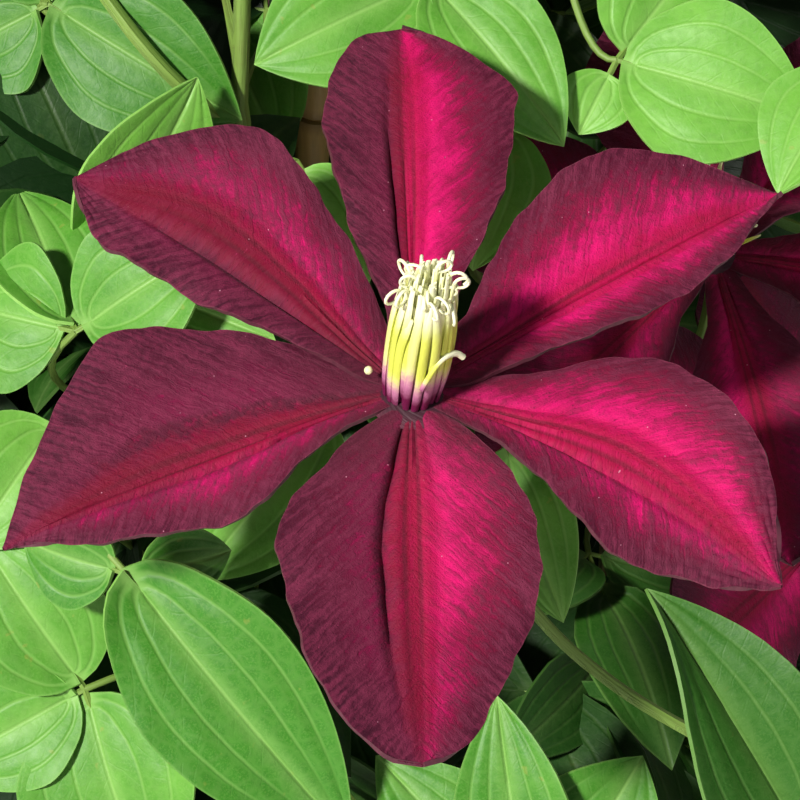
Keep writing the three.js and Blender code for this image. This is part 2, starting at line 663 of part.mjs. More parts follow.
// Hand-set leaves round the front bloom, in its view. Each has the vine that carries it, the stem height,
// the place where its leaflets meet, and for each leaflet its tip, width, roll and twist, then its fold where
// that isn't the usual one.
const VIEW_LEAVES = [
  {
    vine: 0,
    from: 430,
    joint: [-60, 64, 62],
    leaflets: [
      [-28, 45, 62, 30, 10, 15],
      [-76, 55, 70, 26, 0, 0],
      [-70, 90, 84, 24, 0, 0],
    ],
  },
  {
    vine: 0,
    from: 350,
    joint: [-55.5, 10, 40],
    leaflets: [
      [-33, 24, 34, 26, -10, 0],
      [-65, 33, 60, 22, 20, 0],
      [-73, 14, 48, 28, 0, 10],
    ],
  },
  {
    vine: 0,
    from: 300,
    joint: [-47, -30, 30],
    leaflets: [
      [-10, -74, 40, 31, 0, 6],
      [-64, -24, 38, 19, -20, 0],
      [-30, -26, 38, 15, 20, 0],
    ],
  },
  {
    vine: 0,
    from: 270,
    joint: [-54, -49, 48],
    leaflets: [
      [-78, -62, 52, 24, 0, 0],
      [-71, -24, 46, 27, 0, 0],
      [-43, -82, 52, 34, 10, 0],
    ],
  },
  {
    vine: 1,
    from: 485,
    joint: [33.8, 54.8, 50],
    leaflets: [
      [66, 45, 46, 31, 0, 0],
      [27.5, 42.5, 50, 14, 0, 0],
      [48, 73, 58, 26, 0, 0],
    ],
  },
  {
    vine: 0,
    from: 400,
    joint: [-53, 21.5, 58],
    leaflets: [
      [-35.5, 52, 50, 27, 35, 0],
      [-30, 28, 66, 22, 0, 0],
    ],
  },
  {
    vine: 1,
    from: 470,
    joint: [3, 68, 50],
    leaflets: [
      [25, 40.5, 46, 24, -10, 0],
      [-26, 54, 46, 29, 0, 0],
    ],
  },
  {
    vine: 0,
    from: 410,
    joint: [-22, 40, 90],
    leaflets: [
      [-44, 36, 92, 25, 0, 0],
      [-34, 66, 98, 26, 0, 0],
    ],
  },
  {
    vine: 1,
    from: 240,
    joint: [67, -78, 26],
    leaflets: [
      [38.5, -32.5, 18, 27, 5, 60, 0.6],
      [84, -60, 34, 26, 0, 0],
    ],
  },
  {
    vine: 1,
    from: 260,
    joint: [20, -88, 46],
    leaflets: [
      [38, -60, 46, 30, 0, 0],
      [14, -50, 42, 23, -10, 0],
      [-6, -60, 48, 26, 10, 0],
    ],
  },
  {
    vine: 0,
    from: 370,
    joint: [-46, 18, 48],
    leaflets: [
      [-22.5, 8.5, 40, 20, 0, 0],
    ],
  },
  {
    vine: 0,
    from: 325,
    joint: [-58, -4, 48],
    leaflets: [
      [-73, -26, 44, 28, 0, 0],
    ],
  },
  {
    vine: 0,
    from: 335,
    joint: [15, -8, 48],
    leaflets: [
      [25, -38, 44, 18, 10, 0],
    ],
  },
  {
    vine: 0,
    from: 315,
    joint: [-13, -4, 50],
    leaflets: [
      [-36, -31, 56, 25, 0, 0],
    ],
  },
  {
    vine: 1,
    from: 500,
    joint: [73, 54, 40],
    leaflets: [
      [60.5, 32.5, 34, 22, 20, 30],
    ],
  },
  {
    vine: 1,
    from: 440,
    joint: [15, 45, 48],
    leaflets: [
      [10, 20, 42, 22, 0, 0],
    ],
  },
  {
    vine: 0,
    from: 420,
    joint: [-19, 38, 60],
    leaflets: [
      [-7, 18, 54, 18, 0, 0],
    ],
  },
];

function viewLeaf(spec) {
  const joint = seen(spec.joint);
  const facing = VIEW_IN.clone().negate();
  const leaflets = spec.leaflets.map(([across, up, behind, width, roll, twist, fold = VIEW_FOLD], i) => {
    const tip = seen([across, up, behind]);
    const foot = joint.clone().lerp(tip, 4 / joint.distanceTo(tip));
    return leaflet(foot, tip, width, facing, roll, { arch: 0.07, fold, twist, phase: i * 1.7 });
  });
  const stem = stemAt(VINES[spec.vine], spec.from);
  const reach = stem.distanceTo(joint);
  const arrive = joint.clone().addScaledVector(leaflets[0].along, -0.25 * reach).add(vec(0, 0, -4));
  const leave = stem.clone().lerp(joint, 0.2).add(vec(0, 0, 0.2 * reach));
  const petiole = curve(stem, leave, arrive, joint, 3);
  return { joint, petiole, leaflets, facing, from: spec.from, handSet: true };
}

// The ranges that a drawn leaf is drawn from, in degrees and millimetres, and where its blades start
const LEAF_SWING = [8, 88];
const LEAF_REACH = [26, 64];
const LEAF_LIFT = [-4, 48];
const LEAF_DIP = [2, 48];
const LEAF_SIZE = [0.84, 1.12];
const LEAF_TILT = 26;
const SIDE_ANGLE = [56, 76];
const TERMINAL_FOOT = 18;
const SIDE_FOOT = 8;

// A drawn leaf of three leaflets on one side of a stem node.
function drawnLeaf(vine, z, side, roll) {
  const between = (low, high) => lerp(low, high, roll());
  const stem = stemAt(vine, z);
  const heading = THREE.MathUtils.radToDeg(Math.atan2(stem.y, stem.x));
  const swing = heading + side * between(...LEAF_SWING);
  const reach = between(...LEAF_REACH);
  const joint = stem.clone().addScaledVector(aim(swing, between(...LEAF_LIFT)), reach);
  const outward = vec(joint.x, joint.y, 0).normalize();
  const facing = outward.clone().multiplyScalar(0.7).add(vec(0, 0, 0.75)).normalize();
  const forward = aim(swing, 0).add(outward).normalize();
  const dip = rad(between(...LEAF_DIP));
  const ahead = forward.multiplyScalar(Math.cos(dip)).add(vec(0, 0, -Math.sin(dip)));
  const size = between(...LEAF_SIZE);
  const shape = () => ({
    arch: between(0.04, 0.12),
    fold: between(0.08, 0.3),
    twist: between(-24, 24),
    phase: between(0, 6),
  });
  const tilt = between(-LEAF_TILT, LEAF_TILT);
  const leaflets = [0, 1, -1].map((turn) => {
    const long = size * (turn ? SIDE_LENGTH : TERMINAL_LENGTH) * between(0.92, 1.08);
    const direction = ahead.clone().applyAxisAngle(facing, rad(turn * between(...SIDE_ANGLE))).normalize();
    const foot = joint.clone().addScaledVector(direction, turn ? SIDE_FOOT : TERMINAL_FOOT);
    const tip = foot.clone().addScaledVector(direction, long);
    return leaflet(foot, tip, long * LEAF_SLENDER, facing, tilt, shape());
  });
  const arrive = joint.clone().addScaledVector(ahead, -0.3 * reach);
  const leave = stem.clone().lerp(joint, 0.3).add(vec(0, 0, 0.22 * reach));
  return { joint, petiole: curve(stem, leave, arrive, joint, 2), leaflets, facing, from: z };
}

const SAMPLE_ROWS = [0, 0.2, 0.4, 0.6, 0.8, 1];
const bladeSamples = (leaf) => SAMPLE_ROWS.flatMap((t) => [-1, 0, 1].map((s) => leafPoint(leaf, t, s)));
const STALK_SAMPLES = 10;

// Points spread evenly along a stalk's straight stretches.
function stalkSamples(points) {
  return Array.from({ length: STALK_SAMPLES + 1 }, (_, i) => {
    const place = (i / STALK_SAMPLES) * (points.length - 1);
    const k = Math.min(Math.floor(place), points.length - 2);
    return points[k].clone().lerp(points[k + 1], place - k);
  });
}

function distanceToCane(p, i) {
  const low = caneAt(i, CANE_FOOT);
  const high = caneAt(i, CANE_TOP);
  return new THREE.Line3(low, high).closestPointToPoint(p, true, vec(0, 0, 0)).distanceTo(p);
}

// The room that leaves keep round a bloom and its boss
const BLOOM_ROOM = 74;
const BLOOM_THICK = 20;
const BOSS_ROOM = 26;
const BOSS_TALL = 42;
const BUD_ROOM = 9;
const RIM_ROOM = 5;

// Whether a bloom's sepals and boss, with some room, hold a point.
function inBloom(bloom, p) {
  const { axis } = bloomFrame(bloom);
  const away = p.clone().sub(bloom.at);
  const high = away.dot(axis);
  const out = Math.sqrt(Math.max(0, away.lengthSq() - high * high));
  const bySepals = out < BLOOM_ROOM && Math.abs(high) < BLOOM_THICK;
  return bySepals || (out < BOSS_ROOM && high > 0 && high < BOSS_TALL);
}

function inBud(bud, p) {
  const middle = bud.at.clone().addScaledVector(aim(bud.azimuth, bud.lift), bud.long / 2);
  return p.distanceTo(middle) < bud.long / 2 + BUD_ROOM;
}

// Whether the samples of a new leaf are clear of the pot, canes, blooms and the leaves placed so far.
function isClear(leaf, owner, placed) {
  const blades = leaf.leaflets.flatMap(bladeSamples);
  const stalks = stalkSamples(leaf.petiole);
  if (crowded(leaf)) return false;
  const near = (p, room, own) =>
    placed.some((q) => (q.owner === owner) === own && q.at.distanceTo(p) < room);
  for (const p of blades) {
    if (p.z < POT_HEIGHT + RIM_ROOM || inFrontView(p)) return false;
    if (near(p, CLEAR_OWN, true)) return false;
  }
  const free = stalks.slice(3);
  if (free.some((p) => near(p, CLEAR_OWN - 1, true))) return false;
  for (const p of [...blades, ...stalks]) {
    if ([0, 1, 2].some((i) => distanceToCane(p, i) < CLEAR_OTHER + 1)) return false;
    if (BLOOMS.some((bloom) => inBloom(bloom, p)) || BUDS.some((bud) => inBud(bud, p))) return false;
    if (near(p, CLEAR_OTHER, false)) return false;
  }
  return true;
}

// Whether two leaflets of one leaf come too close to each other beyond their feet.
function crowded(leaf) {
  const outer = leaf.leaflets.map((one) => bladeSamples(one).slice(3));
  return outer.some((mine, i) =>
    outer.slice(i + 1).some((other) => mine.some((p) => other.some((q) => p.distanceTo(q) < CLEAR_OWN))),
  );
}

function keep(points, owner, placed) {
  for (const at of points) placed.push({ at, owner });
}

function keepLeaf(leaf, owner, placed) {
  keep(leaf.leaflets.flatMap(bladeSamples), owner, placed);
  keep(stalkSamples(leaf.petiole), owner, placed);
}

// Every leaf of the plant: the hand-set ones, then drawn ones up each stem where there is room.
function placeLeaves() {
  const placed = [];
  const leaves = VINES.map(() => []);
  VINES.forEach((vine, owner) => {
    for (let z = STEM_FOOT; z <= vine.top; z += 8) keep([stemAt(vine, z)], owner, placed);
  });
  for (const carried of CARRIED) {
    keep(stalkSamples(stalk(carried, carried.below)), carried.vine, placed);
  }
  for (const spec of VIEW_LEAVES) {
    const leaf = viewLeaf(spec);
    leaves[spec.vine].push(leaf);
    keepLeaf(leaf, spec.vine, placed);
  }
  const rolls = VINES.map((vine) => dice(vine.seed));
  for (let base = LEAF_START; base < LEAF_END; base += LEAF_STEP) {
    VINES.forEach((vine, owner) => {
      const z = base + LEAF_STAGGER * owner;
      if (z > vine.top - 4) return;
      for (const side of [1, -1]) {
        for (let attempt = 0; attempt < LEAF_TRIES; attempt++) {
          const leaf = drawnLeaf(vine, z, side, rolls[owner]);
          if (!isClear(leaf, owner, placed)) continue;
          leaves[owner].push(leaf);
          keepLeaf(leaf, owner, placed);
          break;
        }
      }
    });
  }
  return leaves;
}

// One closed mesh of a stalk and the leaflets that meet at its end. Each leaflet grows from one side of a
// small plate at the joint, and the stalk, a square rod, from the side that is left.
function leafMesh(joint, path, leaflets, facing, rows) {
  const last = path.length - 1;
  const back = path[last - 1].clone().sub(joint);
  back.addScaledVector(facing, -back.dot(facing)).normalize();
  const side = facing.clone().cross(back);
  const full = 2 * Math.PI;
  const angle = (one) => (Math.atan2(one.along.dot(side), one.along.dot(back)) + full) % full;
  const ordered = [...leaflets].sort((a, b) => angle(a) - angle(b));
  const turns = [0, ...ordered.map(angle), full];
  const top = [];
  const under = [];
  const add = (p, normal, thick) => {
    top.push(p.clone().addScaledVector(normal, thick / 2));
    return under.push(p.clone().addScaledVector(normal, -thick / 2)) - 1;
  };
  const corners = turns.slice(1).map((turn, i) => {
    const away = blend(back, side, (turns[i] + turn) / 2);
    return add(joint.clone().addScaledVector(away, PLATE), facing, 2 * PETIOLE_HALF);
  });
  const faces = [];
  const edges = [];
  for (let i = 2; i < corners.length; i++) faces.push([corners[0], corners[i - 1], corners[i]]);
  ordered.forEach((one, i) => {
    const rowAt = (t) => [-1, 0, 1].map((s) => add(leafPoint(one, t, s), one.out, BLADE_THICK));
    const rowIds = rows.slice(0, -1).map(rowAt);
    const tip = add(leafPoint(one, 1, 0), one.out, BLADE_THICK);
    const [r, m, l] = rowIds[0];
    faces.push([corners[i], r, m], [corners[i], m, corners[i + 1]], [corners[i + 1], m, l]);
    for (let k = 0; k + 1 < rowIds.length; k++) {
      const [a, b, c] = rowIds[k];
      const [d, e, f] = rowIds[k + 1];
      faces.push([a, d, e], [a, e, b], [b, e, f], [b, f, c]);
    }
    const [a, b, c] = rowIds[rowIds.length - 1];
    faces.push([a, tip, b], [b, tip, c]);
    const up = rowIds.map((row) => row[0]);
    const down = rowIds.map((row) => row[2]).reverse();
    const round = [corners[i], ...up, tip, ...down, corners[i + 1]];
    for (let k = 0; k + 1 < round.length; k++) edges.push([round[k], round[k + 1]]);
  });
  const n = top.length;
  const points = [...top, ...under];
  const all = [...faces, ...faces.map(([a, b, c]) => [a + n, c + n, b + n])];
  for (const [a, b] of edges) all.push([a, a + n, b + n], [a, b + n, b]);
  const right = corners[0];
  const left = corners[corners.length - 1];
  addStalk(points, all, path, [left, right, right + n, left + n]);
  return closed(points, all);
}

// A square rod that runs back along a path from four corners of a plate at its end.
function addStalk(points, faces, path, corners) {
  const square = [
    [1, 1],
    [-1, 1],
    [-1, -1],
    [1, -1],
  ];
  const last = path.length - 1;
  const across = points[corners[0]].clone().sub(points[corners[1]]).normalize();
  let near = corners;
  for (let k = last - 1; k >= 0; k--) {
    const along = path[k + 1].clone().sub(path[Math.max(k - 1, 0)]).normalize();
    across.addScaledVector(along, -across.dot(along)).normalize();
    const proud = along.clone().cross(across);
    const far = square.map(([x, y]) => {
      const p = path[k].clone().addScaledVector(across, x * PETIOLE_HALF);
      return points.push(p.addScaledVector(proud, y * PETIOLE_HALF)) - 1;
    });
    for (let j = 0; j < 4; j++) {
      const next = (j + 1) % 4;
      faces.push([near[next], near[j], far[j]], [near[next], far[j], far[next]]);
    }
    near = far;
  }
  faces.push([near[0], near[3], near[2]], [near[0], near[2], near[1]]);
}

const DRAWN_ROWS = [0.22, 0.62, 1];
const HAND_SET_ROWS = [0.02, 0.3, 0.66, 1];

// A hand-set leaf is one mesh for each leaflet, so that they may cross. A drawn leaf is a single mesh.
function leafPieces(leaf) {
  const { joint, petiole, leaflets, facing, handSet } = leaf;
  if (!handSet) return [leafMesh(joint, petiole, leaflets, facing, DRAWN_ROWS)];
  return leaflets.map((one, i) => {
    const stub = [joint.clone().addScaledVector(one.along, -3), joint];
    return leafMesh(joint, i ? stub : petiole, [one], facing, HAND_SET_ROWS);
  });
}

// The heights of a stem's rings: its ends and each place where something grows from it.
function stemHeights(vine, grown) {
  const bend = vine.inward ? [INSIDE_HEIGHT - INSIDE_REACH / 3, INSIDE_HEIGHT] : [];
  const sorted = [STEM_FOOT, ...STEM_LOW_RINGS, ...bend, ...grown, vine.top].sort((a, b) => a - b);
  return sorted.filter((z, i) => i === 0 || z - sorted[i - 1] > NODE_SPACING || z === vine.top);
}

function makeVine(vine, index, leaves) {
  const stalks = CARRIED.filter((one) => one.vine === index);
  const heights = stemHeights(vine, [...leaves.map((leaf) => leaf.from), ...stalks.map((one) => one.from)]);
  const points = heights.map((z) => stemAt(vine, z));
  const pieces = [rod(points, heights.map((z) => stemRadius(vine, z)), STEM_SIDES)];
  for (const carried of stalks) {
    const path = stalk(carried, carried.below);
    pieces.push(rod(path, path.map(() => PEDICEL_RADIUS), 4));
  }
  for (const leaf of leaves) pieces.push(...leafPieces(leaf));
  return part(vine.name, join(pieces), 0x4f8a2c, 0.6);
}

const plant = new THREE.Group();
plant.add(makePot(), makeSoil(), makeTie());
for (let i = 0; i < 3; i++) plant.add(makeCane(i));
const leaves = placeLeaves();
VINES.forEach((vine, i) => plant.add(makeVine(vine, i, leaves[i])));
BLOOMS.forEach((bloom, i) => plant.add(makeSepals(bloom, i), makeBoss(bloom, i)));
BUDS.forEach((bud, i) => plant.add(makeBud(bud, i)));

export default plant;
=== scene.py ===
"""A clematis in a clay pot: its leaves, blooms, stems, canes and soil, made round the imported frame.

Sizes are in millimetres until a mesh is written, which is in metres. The front of the plant is -Y.
"""
import math

import bpy
import numpy as np
from bpy.props import FloatProperty, FloatVectorProperty, IntProperty, PointerProperty
from mathutils import Matrix, Vector


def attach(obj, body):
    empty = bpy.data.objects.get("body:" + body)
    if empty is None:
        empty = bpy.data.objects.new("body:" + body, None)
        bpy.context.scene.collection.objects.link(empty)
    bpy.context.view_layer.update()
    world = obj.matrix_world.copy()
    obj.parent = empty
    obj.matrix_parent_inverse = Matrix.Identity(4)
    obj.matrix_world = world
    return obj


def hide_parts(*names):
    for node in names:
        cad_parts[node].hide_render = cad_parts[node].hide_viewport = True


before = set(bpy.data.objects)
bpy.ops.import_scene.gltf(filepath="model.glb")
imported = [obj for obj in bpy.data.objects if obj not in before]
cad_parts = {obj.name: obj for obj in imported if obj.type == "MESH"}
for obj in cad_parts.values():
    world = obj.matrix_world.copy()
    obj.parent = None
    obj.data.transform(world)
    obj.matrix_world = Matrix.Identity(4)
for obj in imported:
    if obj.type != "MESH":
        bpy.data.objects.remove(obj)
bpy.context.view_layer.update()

bl_info = {
    "name": "Potted clematis",
    "version": (1, 0, 0),
    "blender": (4, 5, 0),
    "location": "3D View > Sidebar > Clematis",
    "description": "Builds a potted clematis with its leaves, blooms, canes, soil and pot",
    "category": "Object",
}

MM = 0.001

# The pot and the soil
POT_HEIGHT = 175
POT_BASE_RADIUS = 74
POT_NECK_RADIUS = 96
POT_RIM_RADIUS = 104
COLLAR_HEIGHT = 32
POT_FLOOR = 9
POT_SIDES = 96
POT_RINGS = 6
POT_BEVEL = 1.1
INNER_BASE_RADIUS = 66
INNER_RIM_RADIUS = 94
DRAIN_RADIUS = 7
DRAIN_CIRCLE = 42
DRAIN_AZIMUTHS = (45, 135, 225, 315)
DRAIN_SIDES = 32
SOIL_TOP = 150
SOIL_GRID = (120, 64)
BARK_BITS = 420
BARK_SEED = 77
GAP = 0.3

# The canes, which lean together and pass each other at the tie
CANES = 3
CANE_CIRCLE = 54
CANE_FOOT = 70
CANE_TOP = 640
CANE_RADIUS = 3.6
CANE_JOINTS = 5
CANE_STAGGER = 0.12
CANE_SIDES = 24
# How far along from the middle of a joint, and how much wider than the cane
CANE_RING = [(-8, 0), (-3, 0.1), (-1.2, 0.5), (0, 0.62), (0.5, -0.22), (1.1, 0.3), (3, 0), (9, 0)]
TIE_HEIGHT = 600
TIE_CIRCLE = 4.6
TIE_TALL = 12
TIE_RADIUS = 9.1
TIE_TURNS = 4
KNOT_TURNS = 1.6
TWINE_APART = 0.62

# The vines
STEM_CIRCLE = 20
STEM_SPREAD = 26
STEM_SPREAD_RISE = 150
STEM_GATHER = 14
STEM_GATHER_FROM = 430
STEM_GATHER_RISE = 170
STEM_SWAY = 13
STEM_FOOT = 122
STEM_RADIUS = 2.3
STEM_TIP_RADIUS = 1.2
STEM_STEP = 4
STEM_SIDES = 10
STEM_RIBS = 6
NODE_SWELL = 0.9
NODE_LONG = 3.2
PETIOLE_RADIUS = 0.9
PEDICEL_RADIUS = 1.3
BLADE_THICK = 0.7
VINES = [
    dict(name="vine_left", azimuth=212, top=590, sway=0.4, seed=11, inward=0),
    dict(name="vine_right", azimuth=328, top=575, sway=2.1, seed=23, inward=38),
    dict(name="vine_back", azimuth=90, top=600, sway=4.4, seed=37, inward=0),
]
INSIDE_HEIGHT = 425
INSIDE_REACH = 90
LEAF_STEP = 41
LEAF_START = 196
LEAF_END = 600
LEAF_STAGGER = 9
LEAF_SHORT = 4
TERMINAL_LENGTH = 60
SIDE_LENGTH = 48
SIDE_STALK = 8
END_STALK = 18
LEAF_SLENDER = 0.56
CLEAR_OTHER = 10
CLEAR_OWN = 6

# The front bloom is looked down on by this angle, from this distance, and the leaves round it are laid out
# in that view: across, up and behind, from the bloom's middle.
LOOK_DOWN = 30
LOOK_FROM = 420
FRONT_BLOOM = np.array([0.0, -115.0, 430.0])
VIEW_SHIFT = (2, 1.3)
VIEW_WIDE = 132
VIEW_HALF = 84
VIEW_DEPTH = 50

# The blooms. A bundle is how wide the stamens stand at foot, middle and tip, and how they flare and lean.
SEPALS = 6
SEPAL_THICK = 0.8
SEPAL_SLANT = 0.9
SEPAL_STEPS = 16
SEPAL_GRID = (20, 34)
HUB_RADIUS = 5.2
HUB_HEIGHTS = (-3, -2.6, -1.6, -0.9, -0.5, 0.3, 0.8)
HUB_RADII = (1.7, 2.6, 4.4, 7.4, 7.6, 5.2, 3.6)
SEPAL_FOOT = 0.12
BOSS_HEIGHT = 31
BOSS_SEED = 900
STAMENS_BEHIND = 40
STYLES = 19
STYLES_BEHIND = 9
BOSS_TURN = 2.4
CORE_HEIGHTS = np.array([0.9, 3, 5, 9, 12, 16, 19, 23, 25])
CORE_RADII = np.array([3.2, 3.9, 4.2, 4.5, 4.5, 4.2, 3.7, 2.0, 0.8])
BUD_RADIUS = 6
BUD_SHARES = [0, 0.12, 0.34, 0.62, 0.86, 1]
BUD_WIDTHS = [0.3, 0.75, 1, 0.82, 0.42, 0.08]
BUD_SIDES = 36
BUNDLE = dict(foot=3.2, middle=3.4, tip=3.6, flare=0.8, drift=0)
FRONT_BUNDLE = dict(foot=4.6, middle=5.6, tip=4.6, flare=0, drift=0.1)

MASK = 0xFFFFFFFF


def dice(seed):
    """A small repeatable random generator, from 0 to 1."""
    state = seed & MASK

    def roll():
        nonlocal state
        state = (state + 0x6D2B79F5) & MASK
        t = ((state ^ (state >> 15)) * (state | 1)) & MASK
        t ^= (t + (((t ^ (t >> 7)) * (t | 61)) & MASK)) & MASK
        return (t ^ (t >> 14)) / 4294967296

    return roll


def lerp(low, high, share):
    return (1 - share) * low + share * high


def drawer(roll):
    """A function that draws a number between two others."""
    return lambda low, high: lerp(low, high, roll())


def smooth(x):
    """A smooth step from 0 at 0 to 1 at 1."""
    c = np.clip(x, 0, 1)
    return c * c * (3 - 2 * c)


def bump(x, wide):
    """A smooth bump that is 1 at 0 and has died away by about twice its width."""
    return np.exp(-((x / wide) ** 2))


def vec(x, y, z):
    return np.array([x, y, z], float)


def unit(v):
    return v / np.linalg.norm(v)


def dot(a, b):
    return (a * b).sum(axis=-1)


def aim(azimuth, elevation):
    """The direction of an azimuth and an elevation, in degrees."""
    turn, lift = math.radians(azimuth), math.radians(elevation)
    return vec(math.cos(lift) * math.cos(turn), math.cos(lift) * math.sin(turn), math.sin(lift))


def blend(start, towards, angle):
    """A direction turned from one towards another, square to it, by an angle in radians."""
    angle = np.asarray(angle)[..., None]
    return start * np.cos(angle) + towards * np.sin(angle)


def turned(v, axis, angle):
    """A direction turned about an axis by an angle in radians."""
    lift = axis * np.dot(axis, v) * (1 - math.cos(angle))
    return v * math.cos(angle) + np.cross(axis, v) * math.sin(angle) + lift


def bezier(a, b, c, d, steps):
    """A cubic curve from a to d, as a list of points."""
    t = np.linspace(0, 1, steps + 1)[:, None]
    k = 1 - t
    return k**3 * a + 3 * k * k * t * b + 3 * k * t * t * c + t**3 * d


VIEW_RIGHT = vec(1, 0, 0)
VIEW_UP = aim(90, 90 - LOOK_DOWN)
VIEW_IN = aim(90, -LOOK_DOWN)


def seen(across, up, behind):
    """A point of the front view, spread with its depth as the eye sees it."""
    spread = 1 + behind / LOOK_FROM
    right = (across + VIEW_SHIFT[0]) * spread - VIEW_SHIFT[0]
    rise = (up + VIEW_SHIFT[1]) * spread - VIEW_SHIFT[1]
    return FRONT_BLOOM + right * VIEW_RIGHT + rise * VIEW_UP + behind * VIEW_IN


def in_front_view(points):
    """Whether points stand in the near part of the front view, which drawn leaves keep clear."""
    away = points - FRONT_BLOOM
    behind = dot(away, VIEW_IN)
    spread = 1 + behind / LOOK_FROM
    across = np.abs(dot(away, VIEW_RIGHT)) / spread
    up = np.abs(dot(away, VIEW_UP)) / spread
    return (behind < VIEW_DEPTH) & (across < VIEW_HALF) & (up < VIEW_HALF)


def cane_at(i, z):
    """A cane's axis at a height: a straight line that passes the tie beside the middle."""
    foot = aim(30 + 120 * i, 0) * CANE_CIRCLE + vec(0, 0, SOIL_TOP)
    waist = aim(120 + 120 * i, 0) * TIE_CIRCLE + vec(0, 0, TIE_HEIGHT)
    return foot + (waist - foot) * (z - SOIL_TOP) / (TIE_HEIGHT - SOIL_TOP)


def stem_at(vine, z):
    """A vine's stem at a height."""
    inside = max(0, 1 - ((z - INSIDE_HEIGHT) / INSIDE_REACH) ** 2) ** 2
    spread = STEM_SPREAD * smooth((z - SOIL_TOP) / STEM_SPREAD_RISE)
    gather = STEM_GATHER * smooth((z - STEM_GATHER_FROM) / STEM_GATHER_RISE)
    away = STEM_CIRCLE + spread - gather - vine["inward"] * inside
    sway = STEM_SWAY * math.sin(z / 62 + vine["sway"]) * smooth((z - SOIL_TOP) / 60)
    return aim(vine["azimuth"] + sway, 0) * away + vec(0, 0, z)


def lumps(x, y):
    """The lumps of the soil's top, in height."""
    broad = 2.2 * np.sin(x / 9 + 1) * np.cos(y / 8)
    return broad + 1.4 * np.sin(x / 4.3) * np.sin(y / 5.1 + 2)


# The sepals of the front bloom: heading, sideways drift, length, twist and the rise at foot and tip, in
# degrees and millimetres, then each side's width, widest place, fullness, shoulder and tip. Dusk is each
# side's painted shade, how dark and dim it is painted, crease the depth of the fold beside the ribs on
# each side, crinkle the ruffle of the tip, and bar how far the ribbed bar bows to the left, as a share of
# the width.
FRONT_SEPALS = [
    dict(
        turn=90, drift=3, long=68.9, twist=6, rise=(16, 10), dusk=(0.95, -0.2), crease=(1.5, 0.3),
        crinkle=0.3, left=(14.2, 0.69, 1.43, 2.25, 0.32), right=(19.6, 0.8, 1.2, 1.4, 0.68),
    ),
    dict(
        turn=33.4, drift=-3.6, long=71.1, twist=24, rise=(10, 0), dusk=(0.3, 0.3), crease=(0.3, 0.5),
        crinkle=0.4, left=(21.4, 0.59, 1.34, 2.07, 1.07), right=(8.8, 0.63, 0.78, 1.77, 1.28),
    ),
    dict(
        turn=-18.2, drift=-22.3, long=64.2, twist=25, rise=(-4, -14), dusk=(0.25, 0.5), crease=(0.5, 0.7),
        crinkle=1.3, bar=0.16, left=(22.4, 0.51, 1.37, 2.04, 1.12), right=(12.2, 0.65, 1.57, 1.4, 0.82),
    ),
    dict(
        turn=-90.3, drift=3.6, long=59.3, twist=-20.5, rise=(-10, -26), dusk=(0.35, 0.8), crease=(0.2, 1.7),
        crinkle=0.3, left=(20.9, 0.44, 0.77, 1.41, 0.53), right=(21.8, 0.42, 0.97, 1.42, 0.42),
    ),
    dict(
        turn=195, drift=12.5, long=67.2, twist=-24.5, rise=(-4, -12), dusk=(0.62, 0.88), crease=(0.9, 0.4),
        crinkle=0.4, left=(12.4, 0.44, 1.74, 2, 1.28), right=(26.2, 0.56, 0.95, 1.41, 1.06),
    ),
    dict(
        turn=144, drift=0, long=68.5, twist=-23, rise=(10, 2), dusk=(1.08, 0.6), crease=(0.9, 0.4),
        crinkle=0.8, bar=-0.26, left=(8, 0.79, 0.92, 1.4, 0.86), right=(24.7, 0.69, 1.04, 1.49, 0.88),
    ),
]

# The shoot that carries the front bloom comes in from the lower right of the view.
FRONT_SHOOT = [(60, -62, 56), (48, -57, 38), (33, -48, 30), (20, -36, 25), (6, -15, 17)]

# The blooms: place, heading and lift of the axis, the vine that carries it, the stem height of its stalk,
# how far its stamens spread and how its sepals are turned.
BLOOMS = [
    dict(at=FRONT_BLOOM, azimuth=270, lift=70, vine=1, start=292, spread=0, via=FRONT_SHOOT),
    dict(at=seen(49.5, 23, 80), azimuth=258, lift=47, vine=1, start=350, spread=0.3, spin=-8, seed=102),
    dict(at=seen(69, -23, 102), azimuth=318, lift=48, vine=1, start=270, spread=0.85, spin=0, seed=203),
    dict(at=vec(-104, 22, 520), azimuth=165, lift=52, vine=0, start=440, spread=0.25, spin=20, seed=304),
    dict(at=vec(82, 62, 548), azimuth=40, lift=46, vine=2, start=470, spread=0.3, spin=50, seed=405),
    dict(at=vec(-16, 128, 398), azimuth=96, lift=38, vine=2, start=320, spread=0.35, spin=35, seed=506),
]
BUDS = [
    dict(at=vec(14, -52, 634), azimuth=290, lift=66, vine=1, start=560, long=26),
    dict(at=vec(124, 2, 462), azimuth=10, lift=55, vine=2, start=400, long=30),
    dict(at=vec(-112, -62, 318), azimuth=215, lift=40, vine=0, start=262, long=24),
]
STALK_GAP = 3.3
STALK_STEPS = 22


def bloom_frame(bloom):
    """A bloom's axis, its upward direction and its right, seen from its open side."""
    axis = aim(bloom["azimuth"], bloom["lift"])
    up = unit(vec(0, 0, 1) - axis * axis[2])
    return axis, up, np.cross(up, axis)


